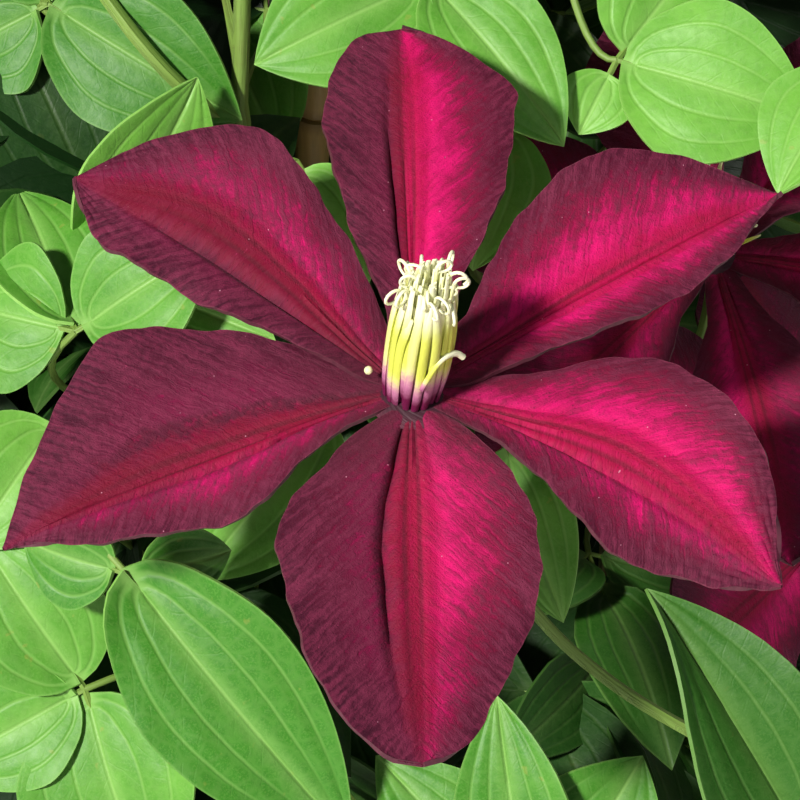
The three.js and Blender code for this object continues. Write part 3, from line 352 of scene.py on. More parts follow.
def drawn_sepals(bloom):
    """The sepals of any bloom but the front one, drawn by its seed."""
    between = drawer(dice(bloom["seed"]))

    def side():
        return (between(15, 18.5), between(0.55, 0.64), 1.5, between(1.6, 2.1), between(0.7, 1))

    sepals = []
    for i in range(SEPALS):
        sepal = dict(turn=bloom["spin"] + 60 * i + between(-6, 6), drift=between(-9, 9))
        sepal["long"] = between(56, 64)
        sepal["twist"] = between(-14, 14)
        sepal["rise"] = (between(6, 14), between(-16, 2))
        sepal["left"] = side()
        sepal["right"] = side()
        # Each side's dusk is painted shade, stepped from one sepal to the next.
        sepal["dusk"] = (0.3 + 0.15 * (i % 3), 0.3 + 0.15 * ((i + 1) % 3))
        sepal["crease"] = (0.4, 0.4)
        sepal["crinkle"] = 0.5
        sepals.append(sepal)
    return sepals


def side_width(t, side, foot=SEPAL_FOOT):
    """Half a blade's width: it grows from a share at the foot to the widest place and closes to the tip."""
    width, widest, fullness, shoulder, tip = side
    grown = foot + (1 - foot) * np.sin(np.pi / 2 * np.clip(t / widest, 0, 1) ** fullness)
    closing = np.maximum(0, 1 - np.clip((t - widest) / (1 - widest), 0, 1) ** shoulder) ** tip
    return width * np.where(t < widest, grown, closing)


def sepal_width(sepal, t, s):
    """Half a sepal's width, with the small unevenness of a grown margin."""
    width = np.where(s > 0, side_width(t, sepal["left"]), side_width(t, sepal["right"]))
    claw = 1.1 * bump(t - 0.05, 0.09)
    phase = sepal["turn"] + np.where(s > 0, 0, 4.0)
    uneven = 0.35 * np.sin(17 * t + phase) + 0.22 * np.sin(41 * t + 2 * phase) + 0.1 * np.sin(90 * t + phase)
    return width + claw + uneven * smooth(t / 0.2) * np.clip(width / 8, 0, 1)


def sepal_relief(sepal, t, s, width):
    """How far a sepal's surface stands out: three ribs, folds beside them, veins and a waved margin."""
    side = np.abs(s)
    near_foot = smooth(t / 0.08)
    fade = near_foot * (1 - t**4)
    rib = 0.34 * bump(s, 0.035) + 0.3 * bump(side - 0.115, 0.03)
    valley = 0.3 * bump(side - 0.058, 0.02)
    crease = np.where(s > 0, sepal["crease"][0], sepal["crease"][1])
    fold = crease * bump(side - 0.21, 0.045) * near_foot * (1 - smooth((t - 0.5) / 0.45))
    along = t * sepal["long"]
    veins = np.sin((along - SEPAL_SLANT * side * width) * 2.6 + 3 * np.sin(side * 5))
    fan = 0.07 * veins * smooth((side - 0.2) / 0.2)
    margin = 0.5 * np.sin(21 * t + sepal["turn"] + np.where(s > 0, 0, 2.4)) * side**5 * smooth(t / 0.3)
    ruffle = np.sin(34 * side + 9 * t) * np.sin(40 * t + 5 * side + sepal["turn"])
    crinkle = 0.28 * sepal["crinkle"] * ruffle * smooth((t - 0.55) / 0.4) * side
    return (rib - valley) * fade - fold + fan * fade + margin + crinkle


def sepal_surface(bloom, axes, sepal, t, s):
    """Points of a sepal's middle surface."""
    axis, up, right = axes

    def heading(x):
        turn = np.radians(sepal["turn"] + sepal["drift"] * x)
        return blend(right, up, turn)

    def slope(x):
        return np.radians(lerp(sepal["rise"][0], sepal["rise"][1], x))

    sheet_s = s
    s = s + sepal.get("bar", 0) * np.sin(np.pi * t) ** 0.6 * (1 - s * s)
    zero = np.zeros_like(t)
    p = bloom["at"] + heading(zero) * (HUB_RADIUS - 1)
    stride = (sepal["long"] * t / SEPAL_STEPS)[..., None]
    for i in range(SEPAL_STEPS):
        x = (i + 0.5) / SEPAL_STEPS * t
        p = p + blend(heading(x), axis, slope(x)) * stride
    along = blend(heading(t), axis, slope(t))
    flat = np.cross(axis, heading(t))
    proud = np.cross(along, flat)
    twist = np.radians(sepal["twist"] * t)
    across = blend(flat, proud, twist)
    out = blend(proud, flat, -twist)
    width = sepal_width(sepal, t, s)
    gutter = -1.4 * np.sin(np.pi * np.minimum(1, t * 1.2)) * (1 - np.abs(s)) ** 2
    wave = 1.1 * np.sin(2 * np.pi * 1.6 * t + sepal["turn"] + np.where(s > 0, 0, 2)) * s * s * t
    rise = gutter + wave + sepal_relief(sepal, t, sheet_s, width)
    return p + across * (s * width)[..., None] + out * rise[..., None]


def stalk(carried, below, steps=6):
    """The stalk of a bloom or bud, from its vine's stem to just under it."""
    axis = aim(carried["azimuth"], carried["lift"])
    start = stem_at(VINES[carried["vine"]], carried["start"])
    end = carried["at"] - axis * below
    if "via" in carried:
        return np.array([start, *[seen(*p) for p in carried["via"]], end])
    reach = np.linalg.norm(end - start)
    outward = unit(vec(start[0], start[1], 0))
    leave = start + outward * reach * 0.3
    leave[2] = start[2] + reach * 0.25
    return bezier(start, leave, end - axis * reach * 0.4, end, steps)


CARRIED = [(bloom, STALK_GAP) for bloom in BLOOMS] + [(bud, GAP) for bud in BUDS]


def leaflet(foot, tip, width, facing, roll, **shape):
    """A leaflet: its frame from foot to tip, facing a direction and rolled about its midrib."""
    along = tip - foot
    long = np.linalg.norm(along)
    along = along / long
    across = unit(np.cross(facing, along))
    out = np.cross(along, across)
    turn = math.radians(roll)
    return dict(
        foot=foot, along=along, long=long, width=width,
        across=blend(across, out, turn), out=blend(out, across, -turn), **shape,
    )


# The outline of a leaflet, in the terms of a sepal's side, and its veins. All are shares of its length or of
# its half width.
LEAF_OUTLINE = (1, 0.36, 1, 1.8, 0.92)
LEAF_FOOT = 0.4
FOOT_ROUND = 0.09
HEART = 0.09
LEAF_WAVE = 0.03
LEAF_VEINS = (0.36, 0.7)
BRANCH_SLANT = 1.15
BLADE_ROWS = 1.25


def leaf_profile(t):
    """The share of a leaflet's width along it."""
    return side_width(t, LEAF_OUTLINE, LEAF_FOOT)


def rounded_foot(t):
    """The share of a blade's width that is left where its foot rounds in to the stalk."""
    return np.sqrt(np.clip(1 - (1 - t / FOOT_ROUND) ** 2, 0, 1)) ** 0.8 * (t < FOOT_ROUND) + (t >= FOOT_ROUND)


def leaf_point(leaf, t, s, relief=0.0, foot=1.0):
    """Points on a leaflet: heart-shaped at the foot, arched, folded up from the midrib and waved."""
    half = leaf["width"] / 2 * leaf_profile(t) * foot
    side = np.abs(s)
    x = leaf["long"] * (t - HEART * side**1.5 * (1 - t) ** 4)
    twist = np.radians(leaf["twist"] * (t - 0.3))
    across = blend(leaf["across"], leaf["out"], twist)
    out = blend(leaf["out"], leaf["across"], -twist)
    waves = np.sin(8 * t + leaf["phase"] + np.where(s > 0, 0, 2))
    wave = LEAF_WAVE * leaf["long"] * waves * s * s * (1 - t)
    arch = leaf["long"] * leaf["arch"] * 4 * t * (1 - t)
    rise = leaf["fold"] * side * half + wave + relief
    p = leaf["foot"] + leaf["along"] * x[..., None] + leaf["out"] * arch[..., None]
    return p + across * (s * half)[..., None] + out * rise[..., None]


VIEW_FOLD = 0.16

# Listed leaves round the front bloom, in its view. Each has the vine that carries it, the stem height,
# the place where its leaflets meet, and for each leaflet its tip, width, roll and twist, then its fold where
# that isn't the usual one. A last number says how much darker the leaf is than its height gives.
# The last number is painted shade: how much darker the leaf is painted for the shade it stands in.
VIEW_LEAVES = [
    (
        0, 430, (-60, 64, 62),
        [(-28, 45, 62, 30, 10, 15), (-76, 55, 70, 26, 0, 0), (-70, 90, 84, 24, 0, 0)], 0.72,
    ),
    (
        0, 350, (-55.5, 10, 40),
        [(-33, 24, 34, 26, -10, 0), (-65, 33, 60, 22, 20, 0), (-73, 14, 48, 28, 0, 10)],
    ),
    (
        0, 300, (-47, -30, 30),
        [(-10, -74, 40, 31, 0, 6), (-64, -24, 38, 19, -20, 0), (-30, -26, 38, 15, 20, 0)], 0.7,
    ),
    (0, 270, (-54, -49, 48), [(-78, -62, 52, 24, 0, 0), (-71, -24, 46, 27, 0, 0), (-43, -82, 52, 34, 10, 0)]),
    (1, 485, (33.8, 54.8, 50), [(66, 45, 46, 31, 0, 0), (27.5, 42.5, 50, 14, 0, 0), (48, 73, 58, 26, 0, 0)]),
    (0, 400, (-53, 21.5, 58), [(-35.5, 52, 50, 27, 35, 0), (-30, 28, 66, 22, 0, 0)]),
    (1, 470, (3, 68, 50), [(25, 40.5, 46, 24, -10, 0), (-26, 54, 46, 29, 0, 0)], 0.36),
    (0, 410, (-22, 40, 90), [(-44, 36, 92, 25, 0, 0), (-34, 66, 98, 26, 0, 0)]),
    (1, 240, (67, -78, 26), [(38.5, -32.5, 18, 27, 5, 60, 0.6), (84, -60, 34, 26, 0, 0)], 0.95),
    (
        1, 260, (20, -88, 46),
        [(38, -60, 46, 30, 0, 0), (14, -50, 42, 23, -10, 0), (-6, -60, 48, 26, 10, 0)], 0.35,
    ),
    (0, 370, (-46, 18, 48), [(-22.5, 8.5, 40, 20, 0, 0)]),
    (0, 325, (-58, -4, 48), [(-73, -26, 44, 28, 0, 0)]),
    (0, 335, (15, -8, 48), [(25, -38, 44, 18, 10, 0)]),
    (0, 315, (-13, -4, 50), [(-36, -31, 56, 25, 0, 0)]),
    (1, 500, (73, 54, 40), [(60.5, 32.5, 34, 22, 20, 30)]),
    (1, 440, (15, 45, 48), [(10, 20, 42, 22, 0, 0)]),
    (0, 420, (-19, 38, 60), [(-7, 18, 54, 18, 0, 0)]),
]


def view_leaf(spec):
    """A listed leaf as a joint, the curve of its stalk and its leaflets."""
    vine, start, meet, tips, *shade = spec
    joint = seen(*meet)
    leaflets = []
    for i, (across, up, behind, width, roll, twist, *fold) in enumerate(tips):
        tip = seen(across, up, behind)
        foot = joint + (tip - joint) * 4 / np.linalg.norm(tip - joint)
        shape = dict(arch=0.07, fold=fold[0] if fold else VIEW_FOLD, twist=twist, phase=i * 1.7)
        leaflets.append(leaflet(foot, tip, width, -VIEW_IN, roll, **shape))
    stem = stem_at(VINES[vine], start)
    reach = np.linalg.norm(joint - stem)
    arrive = joint + leaflets[0]["along"] * (-0.25 * reach) + vec(0, 0, -4)
    leave = stem + (joint - stem) * 0.2 + vec(0, 0, 0.2 * reach)
    path = (stem, leave, arrive, joint)
    own = dict(start=start, fine="hand_set", shade=shade[0] if shade else 0)
    return dict(joint=joint, path=path, bends=3, leaflets=leaflets, **own)


def drawn_leaf(vine, z, side, roll, scale, fine):
    """A drawn leaf of three leaflets on one side of a stem node, at a share of its full size."""
    between = drawer(roll)
    stem = stem_at(vine, z)
    heading = math.degrees(math.atan2(stem[1], stem[0]))
    swing = heading + side * between(8, 88)
    reach = between(26, 64) * scale
    joint = stem + aim(swing, between(-4, 48)) * reach
    outward = unit(vec(joint[0], joint[1], 0))
    facing = unit(outward * 0.7 + vec(0, 0, 0.75))
    forward = unit(aim(swing, 0) + outward)
    dip = math.radians(between(2, 48))
    ahead = forward * math.cos(dip) + vec(0, 0, -math.sin(dip))
    size = between(0.84, 1.12) * scale
    tilt = between(-26, 26)
    leaflets = three_leaflets(joint, ahead, facing, size, tilt, scale, between)
    return grown_leaf(stem, joint, ahead, leaflets, z, fine)


def three_leaflets(joint, ahead, facing, size, tilt, scale, between):
    """The end leaflet of a leaf and its two side leaflets. The scale is that of their short stalks."""
    leaflets = []
    for turn in (0, 1, -1):
        long = size * (SIDE_LENGTH if turn else TERMINAL_LENGTH) * between(0.92, 1.08)
        direction = unit(turned(ahead, facing, math.radians(turn * between(56, 76))))
        foot = joint + direction * (SIDE_STALK if turn else END_STALK) * scale
        shape = dict(arch=between(0.04, 0.12), fold=between(0.08, 0.3))
        shape.update(twist=between(-24, 24), phase=between(0, 6))
        tip = foot + direction * long
        leaflets.append(leaflet(foot, tip, long * LEAF_SLENDER, facing, tilt, **shape))
    return leaflets


def grown_leaf(stem, joint, ahead, leaflets, start, fine):
    """A leaf with the curve of its stalk, which leaves the stem upwards and comes in from behind."""
    reach = np.linalg.norm(joint - stem)
    arrive = joint - ahead * 0.3 * reach
    leave = stem + (joint - stem) * 0.3 + vec(0, 0, 0.22 * reach)
    path = (stem, leave, arrive, joint)
    return dict(joint=joint, path=path, bends=2, leaflets=leaflets, start=start, fine=fine)


def shaded_leaf(vine, joint, roll):
    """A leaf in the shade behind the front bloom, that turns its face to the front."""
    between = drawer(roll)
    start = min(max(joint[2] - between(5, 50), LEAF_START - 16), vine["top"] - 12)
    stem = stem_at(vine, start)
    facing = unit(VIEW_RIGHT * between(-0.5, 0.5) + VIEW_UP * between(-0.2, 0.6) - VIEW_IN)
    away = joint - stem
    ahead = unit(away - facing * np.dot(away, facing))
    ahead = turned(ahead, facing, math.radians(between(-50, 50)))
    size = between(*SHADED_SIZE)
    leaflets = three_leaflets(joint, ahead, facing, size, between(-20, 20), 0.6 * size, between)
    return grown_leaf(stem, joint, ahead, leaflets, start, "inner")


SAMPLE_ROWS = [0, 0.2, 0.4, 0.6, 0.8, 1]
SAMPLE_T = np.repeat(SAMPLE_ROWS, 3).astype(float)
SAMPLE_S = np.tile([-1.0, 0.0, 1.0], len(SAMPLE_ROWS))
STALK_SAMPLES = 10
STEM_SAMPLE = 8


def stalk_samples(points):
    """Points spread evenly along a stalk's straight stretches."""
    place = np.arange(STALK_SAMPLES + 1) / STALK_SAMPLES * (len(points) - 1)
    k = np.minimum(np.floor(place).astype(int), len(points) - 2)
    return points[k] + (points[k + 1] - points[k]) * (place - k)[:, None]


def leaf_samples(leaf):
    """Points of each blade of a leaf and of its stalk, by which its room is judged."""
    blades = [leaf_point(one, SAMPLE_T, SAMPLE_S) for one in leaf["leaflets"]]
    return blades, stalk_samples(bezier(*leaf["path"], leaf["bends"]))


def distance_to_cane(points, i):
    """How far points are from a cane's axis."""
    low, high = cane_at(i, CANE_FOOT), cane_at(i, CANE_TOP)
    share = np.clip(dot(points - low, high - low) / np.dot(high - low, high - low), 0, 1)
    return np.linalg.norm(points - low - (high - low) * share[:, None], axis=1)


# The room that leaves keep round a bloom and its boss
BLOOM_ROOM = 74
BLOOM_THICK = 20
BOSS_ROOM = 26
BOSS_TALL = 42
BUD_ROOM = 9
RIM_ROOM = 5


def in_bloom(bloom, points, thick):
    """Whether a bloom's sepals and boss, with some room, hold any of the points."""
    axis = bloom_frame(bloom)[0]
    away = points - bloom["at"]
    high = dot(away, axis)
    out = np.sqrt(np.maximum(0, dot(away, away) - high * high))
    by_sepals = (out < BLOOM_ROOM) & (np.abs(high) < thick)
    by_boss = (out < BOSS_ROOM) & (high > 0) & (high < BOSS_TALL)
    return bool((by_sepals | by_boss).any())


def in_bud(bud, points):
    """Whether a bud, with some room, holds any of the points."""
    middle = bud["at"] + aim(bud["azimuth"], bud["lift"]) * bud["long"] / 2
    return bool((np.linalg.norm(points - middle, axis=1) < bud["long"] / 2 + BUD_ROOM).any())


def closer(points, others, room):
    """Whether any of the points comes nearer than the room to any of the others."""
    gaps = ((points[:, None, :] - others[None, :, :]) ** 2).sum(axis=2)
    return bool((gaps < room * room).any())


class Room:
    """The points that the plant holds so far, each with the vine it belongs to."""

    def __init__(self):
        self.at = np.zeros((0, 3))
        self.owner = np.zeros(0, int)

    def keep(self, points, owner):
        points = np.asarray(points).reshape(-1, 3)
        self.at = np.vstack([self.at, points])
        self.owner = np.append(self.owner, np.full(len(points), owner))

    def near(self, points, room, owner, own):
        """Whether anything of the same vine, or of the others, comes nearer than the room."""
        low, high = points.min(axis=0) - room, points.max(axis=0) + room
        inside = (self.at > low).all(axis=1) & (self.at < high).all(axis=1)
        others = self.at[inside & ((self.owner == owner) == own)]
        return len(others) > 0 and closer(points, others, room)


def crowded(blades, room):
    """Whether two leaflets of one leaf come too close to each other beyond their feet."""
    outer = [blade[3:] for blade in blades]
    return any(closer(mine, other, room) for i, mine in enumerate(outer) for other in outer[i + 1:])


def is_clear(leaf, owner, placed, share):
    """Whether a new leaf is clear of the pot, canes, blooms and the leaves placed so far."""
    blades, stalks = leaf_samples(leaf)
    if crowded(blades, CLEAR_OWN * share):
        return False
    blades = np.vstack(blades)
    if (blades[:, 2] < POT_HEIGHT + RIM_ROOM).any() or in_front_view(blades).any():
        return False
    if placed.near(blades, CLEAR_OWN * share, owner, True):
        return False
    if placed.near(stalks[3:], (CLEAR_OWN - 1) * share, owner, True):
        return False
    points = np.vstack([blades, stalks])
    if any((distance_to_cane(points, i) < (CLEAR_OTHER + 1) * share).any() for i in range(CANES)):
        return False
    thick = BLOOM_THICK * lerp(0.6, 1, share)
    if any(in_bloom(bloom, points, thick) for bloom in BLOOMS) or any(in_bud(bud, points) for bud in BUDS):
        return False
    return not placed.near(points, CLEAR_OTHER * share, owner, False)


def keep_leaf(leaf, owner, placed, leaves):
    """Give a leaf to its vine and keep its room."""
    leaves[owner].append(leaf)
    blades, stalks = leaf_samples(leaf)
    placed.keep(np.vstack(blades), owner)
    placed.keep(stalks, owner)


# Inner leaves fill the plant behind the outer ones and within their reach. They are tried more closely up
# each stem, from below the first outer leaf to short of the top, are smaller and are kept with less room.
INNER_SEED = 500
INNER_STEP = 13
INNER_BELOW = 8
INNER_SHORT = 20
OUTER = dict(fine="drawn", scale=1.0, tries=22, clear=1.0)
INNER = dict(fine="inner", scale=0.66, tries=14, clear=0.5)


def grow_pair(owner, z, roll, kind, placed, leaves, reach):
    """Try leaves on both sides of a stem node, and keep the first on each side that has room."""
    for side in (1, -1):
        for _ in range(kind["tries"]):
            leaf = drawn_leaf(VINES[owner], z, side, roll, kind["scale"], kind["fine"])
            if not beyond(leaf, reach) and is_clear(leaf, owner, placed, kind["clear"]):
                keep_leaf(leaf, owner, placed, leaves)
                break


def place_leaves():
    """Every leaf of the plant: the listed ones, then drawn ones up each stem where there is room."""
    placed = Room()
    leaves = [[] for _ in VINES]
    for owner, vine in enumerate(VINES):
        placed.keep([stem_at(vine, z) for z in range(STEM_FOOT, vine["top"] + 1, STEM_SAMPLE)], owner)
    for carried, below in CARRIED:
        placed.keep(stalk_samples(stalk(carried, below)), carried["vine"])
    for spec in VIEW_LEAVES:
        keep_leaf(view_leaf(spec), spec[0], placed, leaves)
    rolls = [dice(vine["seed"]) for vine in VINES]
    for base in range(LEAF_START, LEAF_END, LEAF_STEP):
        for owner, vine in enumerate(VINES):
            z = base + LEAF_STAGGER * owner
            if z <= vine["top"] - LEAF_SHORT:
                grow_pair(owner, z, rolls[owner], OUTER, placed, leaves, math.inf)
    reach = np.abs(placed.at[:, :2]).max(axis=0)
    for owner, vine in enumerate(VINES):
        roll = dice(vine["seed"] + INNER_SEED)
        for z in range(LEAF_START - INNER_BELOW, vine["top"] - INNER_SHORT, INNER_STEP):
            grow_pair(owner, z, roll, INNER, placed, leaves, reach)
    add_shaded_leaves(leaves, placed, reach)
    return leaves


def beyond(leaf, reach):
    """Whether a leaf stands out of the room that the plant takes up."""
    points = np.vstack(leaf_samples(leaf)[0])
    return bool((np.abs(points[:, :2]) > reach).any())


# Shaded leaves are tried on a grid of the front view: its step, how far it goes to each side and further up,
# how loosely its places are met, and how far behind the bloom they lie. They are kept with less room.
SHADED_SEED = 4200
SHADED_STEP = 13
SHADED_HALF = 74
SHADED_ABOVE = 20
SHADED_LOOSE = 7
SHADED_DEPTH = (62, 190)
SHADED_SIZE = (0.75, 1.05)
SHADED_TRIES = 12
SHADED_CLEAR = 0.3


# These leaves take the inner leaves' painted shade: painted near-black green, they stand in for the shade
# behind the bloom.
def add_shaded_leaves(leaves, placed, reach):
    """Leaves in the shade behind the front bloom, wherever the front view would look through the plant."""
    roll = dice(SHADED_SEED)
    between = drawer(roll)
    loose = (-SHADED_LOOSE, SHADED_LOOSE)
    for up in range(-SHADED_HALF, SHADED_HALF + SHADED_ABOVE, SHADED_STEP):
        for across in range(-SHADED_HALF, SHADED_HALF + 1, SHADED_STEP):
            for _ in range(SHADED_TRIES):
                joint = seen(across + between(*loose), up + between(*loose), between(*SHADED_DEPTH))
                gaps = [np.linalg.norm(stem_at(vine, joint[2])[:2] - joint[:2]) for vine in VINES]
                owner = int(np.argmin(gaps))
                leaf = shaded_leaf(VINES[owner], joint, roll)
                if not beyond(leaf, reach) and is_clear(leaf, owner, placed, SHADED_CLEAR):
                    keep_leaf(leaf, owner, placed, leaves)
                    break


# Making meshes

# What the finishes read at each point: its place on its own piece, its tone and how far it is from the edge
FLAT_SHEETS = {}
PLACE = "place_mm"
TONE = "tone"
EDGE = "edge_mm"
BLADE_UV = "BladeUV"

# How far the grain of one blade or tube is from the next one's, so that no two look alike
GRAIN_STEP = 7.3
# How far a tube's ridges stand out, as a share of its radius
RIDGE = 0.08


def deselect():
    bpy.ops.object.select_all(action="DESELECT")


def flat_sheet(columns, rows):
    """A flat grid from -1 to 1 each way, made once for each number of columns and rows."""
    if (columns, rows) not in FLAT_SHEETS:
        deselect()
        bpy.ops.mesh.primitive_grid_add(x_subdivisions=columns, y_subdivisions=rows, size=2)
        made = bpy.context.object
        mesh = made.data
        mesh.uv_layers[0].name = BLADE_UV
        mesh.attributes.new(PLACE, "FLOAT_VECTOR", "POINT")
        mesh.attributes.new(TONE, "FLOAT", "POINT")
        mesh.attributes.new(EDGE, "FLOAT", "POINT")
        bpy.data.objects.remove(made)
        FLAT_SHEETS[columns, rows] = mesh
    return FLAT_SHEETS[columns, rows]


def laid_sheet(columns, rows):
    """A flat sheet with the shares along and across it: t from 0 to 1 and s from 1 to -1."""
    mesh = flat_sheet(columns, rows)
    co = np.empty(len(mesh.vertices) * 3)
    mesh.vertices.foreach_get("co", co)
    co = co.reshape(-1, 3)
    return mesh, (co[:, 1] + 1) / 2, -co[:, 0]


def shaped(sheet, points, place, tone, edge=None):
    """A copy of a flat sheet with its points moved, and what its finish reads at each point."""
    mesh = sheet.copy()
    mesh.vertices.foreach_set("co", (points * MM).ravel())
    count = len(mesh.vertices)
    mesh.attributes[PLACE].data.foreach_set("vector", np.ascontiguousarray(place, float).ravel())
    mesh.attributes[TONE].data.foreach_set("value", np.broadcast_to(tone, count).astype(float))
    if edge is not None:
        mesh.attributes[EDGE].data.foreach_set("value", np.broadcast_to(edge, count).astype(float))
    mesh.update()
    return mesh


def grain_place(across, along, number):
    """The places that finishes read: across and along in millimetres, and apart from other blades."""
    return np.column_stack([across, along, np.full(len(along), number * GRAIN_STEP)])


def blade(sheet, points, t, s, half, long, tone, number):
    """A blade made of a flat sheet, with how far each of its points is from its edge."""
    edge = np.minimum((1 - np.abs(s)) * half, (1 - t) * long)
    return shaped(sheet, points, grain_place(s * half, t * long, number), tone, edge)


def walked(path):
    """The length of the way to each point of a path."""
    return np.append(0, np.cumsum(np.linalg.norm(np.diff(path, axis=0), axis=1)))


def linked(name, data):
    piece = bpy.data.objects.new(name, data)
    bpy.context.collection.objects.link(piece)
    return piece


def named(piece, name):
    piece.name = name
    piece.data.name = name
    return piece


def pick(pieces):
    """Select pieces and no others, the first of them active."""
    deselect()
    for piece in pieces:
        piece.select_set(True)
    bpy.context.view_layer.objects.active = pieces[0]


def join_pieces(name, pieces):
    pick(pieces)
    if len(pieces) > 1:
        bpy.ops.object.join()
    return named(bpy.context.view_layer.objects.active, name)


def join_meshes(name, meshes):
    return join_pieces(name, [linked(name, mesh) for mesh in meshes])


def edit_all():
    """Open the active piece in edit mode with all of it selected."""
    bpy.ops.object.mode_set(mode="EDIT")
    bpy.ops.mesh.select_all(action="SELECT")


def merge_doubles(piece, distance=0.01):
    """Close seams and poles by merging points that fall together."""
    pick([piece])
    edit_all()
    bpy.ops.mesh.remove_doubles(threshold=distance * MM)
    bpy.ops.object.mode_set(mode="OBJECT")


def welded(name, meshes, material, merged=0.01):
    """Meshes joined to a closed piece of one material."""
    made = join_meshes(name, meshes)
    merge_doubles(made, merged)
    made.data.materials.append(material)
    return made


def apply_modifier(piece, kind, **settings):
    modifier = piece.modifiers.new(kind.title(), kind)
    for key, value in settings.items():
        setattr(modifier, key, value)
    pick([piece])
    bpy.ops.object.modifier_apply(modifier=modifier.name)


def thicken(piece, thickness, face, under, rim):
    """Give a sheet its thickness, with a finish for its upper face, its underside and its edge."""
    for material in (face, under, rim):
        piece.data.materials.append(material)
    apply_modifier(
        piece, "SOLIDIFY", thickness=thickness * MM, offset=0, material_offset=1, material_offset_rim=2,
    )


def shade(piece, angle=55):
    pick([piece])
    bpy.ops.object.shade_smooth_by_angle(angle=math.radians(angle))


def tube(path, radii, sides, tone=0.5, number=0, ribs=0, broad=None, flat=1.0):
    """A closed tube along a path, with a radius at each point. Ribs are its number of ridges.

    A strap is a tube with a broad side's direction, and its thickness as a share of its width.
    """
    path = np.asarray(path, float)
    radii = np.broadcast_to(radii, len(path)).astype(float).copy()
    lengths = walked(path)
    path = np.vstack([path[:1], path, path[-1:]])
    radii = np.concatenate([[0], radii, [0]])
    lengths = np.concatenate([lengths[:1], lengths, lengths[-1:]])
    along = np.gradient(path, axis=0)
    along[0], along[1] = path[2] - path[1], path[2] - path[1]
    along[-1], along[-2] = path[-2] - path[-3], path[-2] - path[-3]
    along /= np.linalg.norm(along, axis=1)[:, None]
    sideways = np.empty_like(along)
    side = vec(0, 0, 1) if abs(along[0][2]) < 0.9 else vec(1, 0, 0)
    side = side if broad is None else broad
    for i, direction in enumerate(along):
        side = unit(side - direction * np.dot(side, direction))
        sideways[i] = side
    other = np.cross(along, sideways)
    sheet, t, s = laid_sheet(sides, len(path) - 1)
    row = np.rint(t * (len(path) - 1)).astype(int)
    turn = -s * math.pi
    radius = radii[row] * (1 + (RIDGE * np.cos(ribs * turn) if ribs else 0))
    out = sideways[row] * np.cos(turn)[:, None] + other[row] * (flat * np.sin(turn))[:, None]
    points = path[row] + out * radius[:, None]
    place = grain_place(turn * radii[row], lengths[row], number)
    if np.ndim(tone):
        tone = np.concatenate([tone[:1], tone, tone[-1:]])[row]
    return shaped(sheet, points, place, tone)


def spline(points, steps):
    """A smooth curve through points, with a number of steps between each two."""
    points = np.asarray(points, float)
    padded = np.vstack([2 * points[0] - points[1], points, 2 * points[-1] - points[-2]])
    made = []
    for a, b, c, d in zip(padded, padded[1:], padded[2:], padded[3:]):
        for t in np.arange(steps) / steps:
            bend = (2 * a - 5 * b + 4 * c - d) * t * t + (3 * b - a - 3 * c + d) * t**3
            made.append(0.5 * (2 * b + (c - a) * t + bend))
    made.append(points[-1])
    return np.array(made)


def turned_solid(name, profile, sides):
    """A closed round solid raised ring by ring from pairs of radius and height."""
    deselect()
    radius, height = profile[0]
    bpy.ops.mesh.primitive_circle_add(
        vertices=sides, radius=radius * MM, fill_type="NGON", location=(0, 0, height * MM)
    )
    made = bpy.context.object
    edit_all()
    for wider, higher in profile[1:]:
        rise = (higher - height) * MM
        bpy.ops.mesh.extrude_region_move(TRANSFORM_OT_translate={"value": (0, 0, rise)})
        share = wider / radius
        bpy.ops.transform.resize(value=(share, share, 1), center_override=(0, 0, 0))
        radius, height = wider, higher
    bpy.ops.mesh.select_all(action="SELECT")
    bpy.ops.mesh.normals_make_consistent(inside=False)
    bpy.ops.object.mode_set(mode="OBJECT")
    pick([made])
    bpy.ops.object.transform_apply(location=True, rotation=True, scale=True)
    return named(made, name)


def hand_over(piece, slot, *nodes):
    """Hang a finished piece on the plant in place of its CAD nodes."""
    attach(piece, "root")
    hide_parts(*nodes)


def close_piece(name, meshes, material, angle, slot, node, merged=0.01):
    """Make a smooth piece of one material from meshes and hand it over."""
    made = welded(name, meshes, material, merged)
    shade(made, angle)
    hand_over(made, slot, node)


# Finishes


class Value:
    """An output of a shader node, for use in expressions."""

    def __init__(self, finish, socket):
        self.finish = finish
        self.socket = socket

    def maths(self, operation, *others):
        return self.finish.node("Math", dict(operation=operation), dict(enumerate([self, *others])))

    def __add__(self, other):
        return self.maths("ADD", other)

    def __sub__(self, other):
        return self.maths("SUBTRACT", other)

    def __rsub__(self, other):
        return self.finish.number(other).maths("SUBTRACT", self)

    def __mul__(self, other):
        return self.maths("MULTIPLY", other)

    def __truediv__(self, other):
        return self.maths("DIVIDE", other)

    def __abs__(self):
        return self.maths("ABSOLUTE")

    __radd__ = __add__
    __rmul__ = __mul__

    def most(self, other):
        return self.maths("MAXIMUM", other)

    def sine(self):
        return self.maths("SINE")

    def step(self, low, high):
        """A smooth step from 0 at one value to 1 at another."""
        settings = dict(interpolation_type="SMOOTHSTEP")
        return self.finish.node("MapRange", settings, {"Value": self, "From Min": low, "From Max": high})


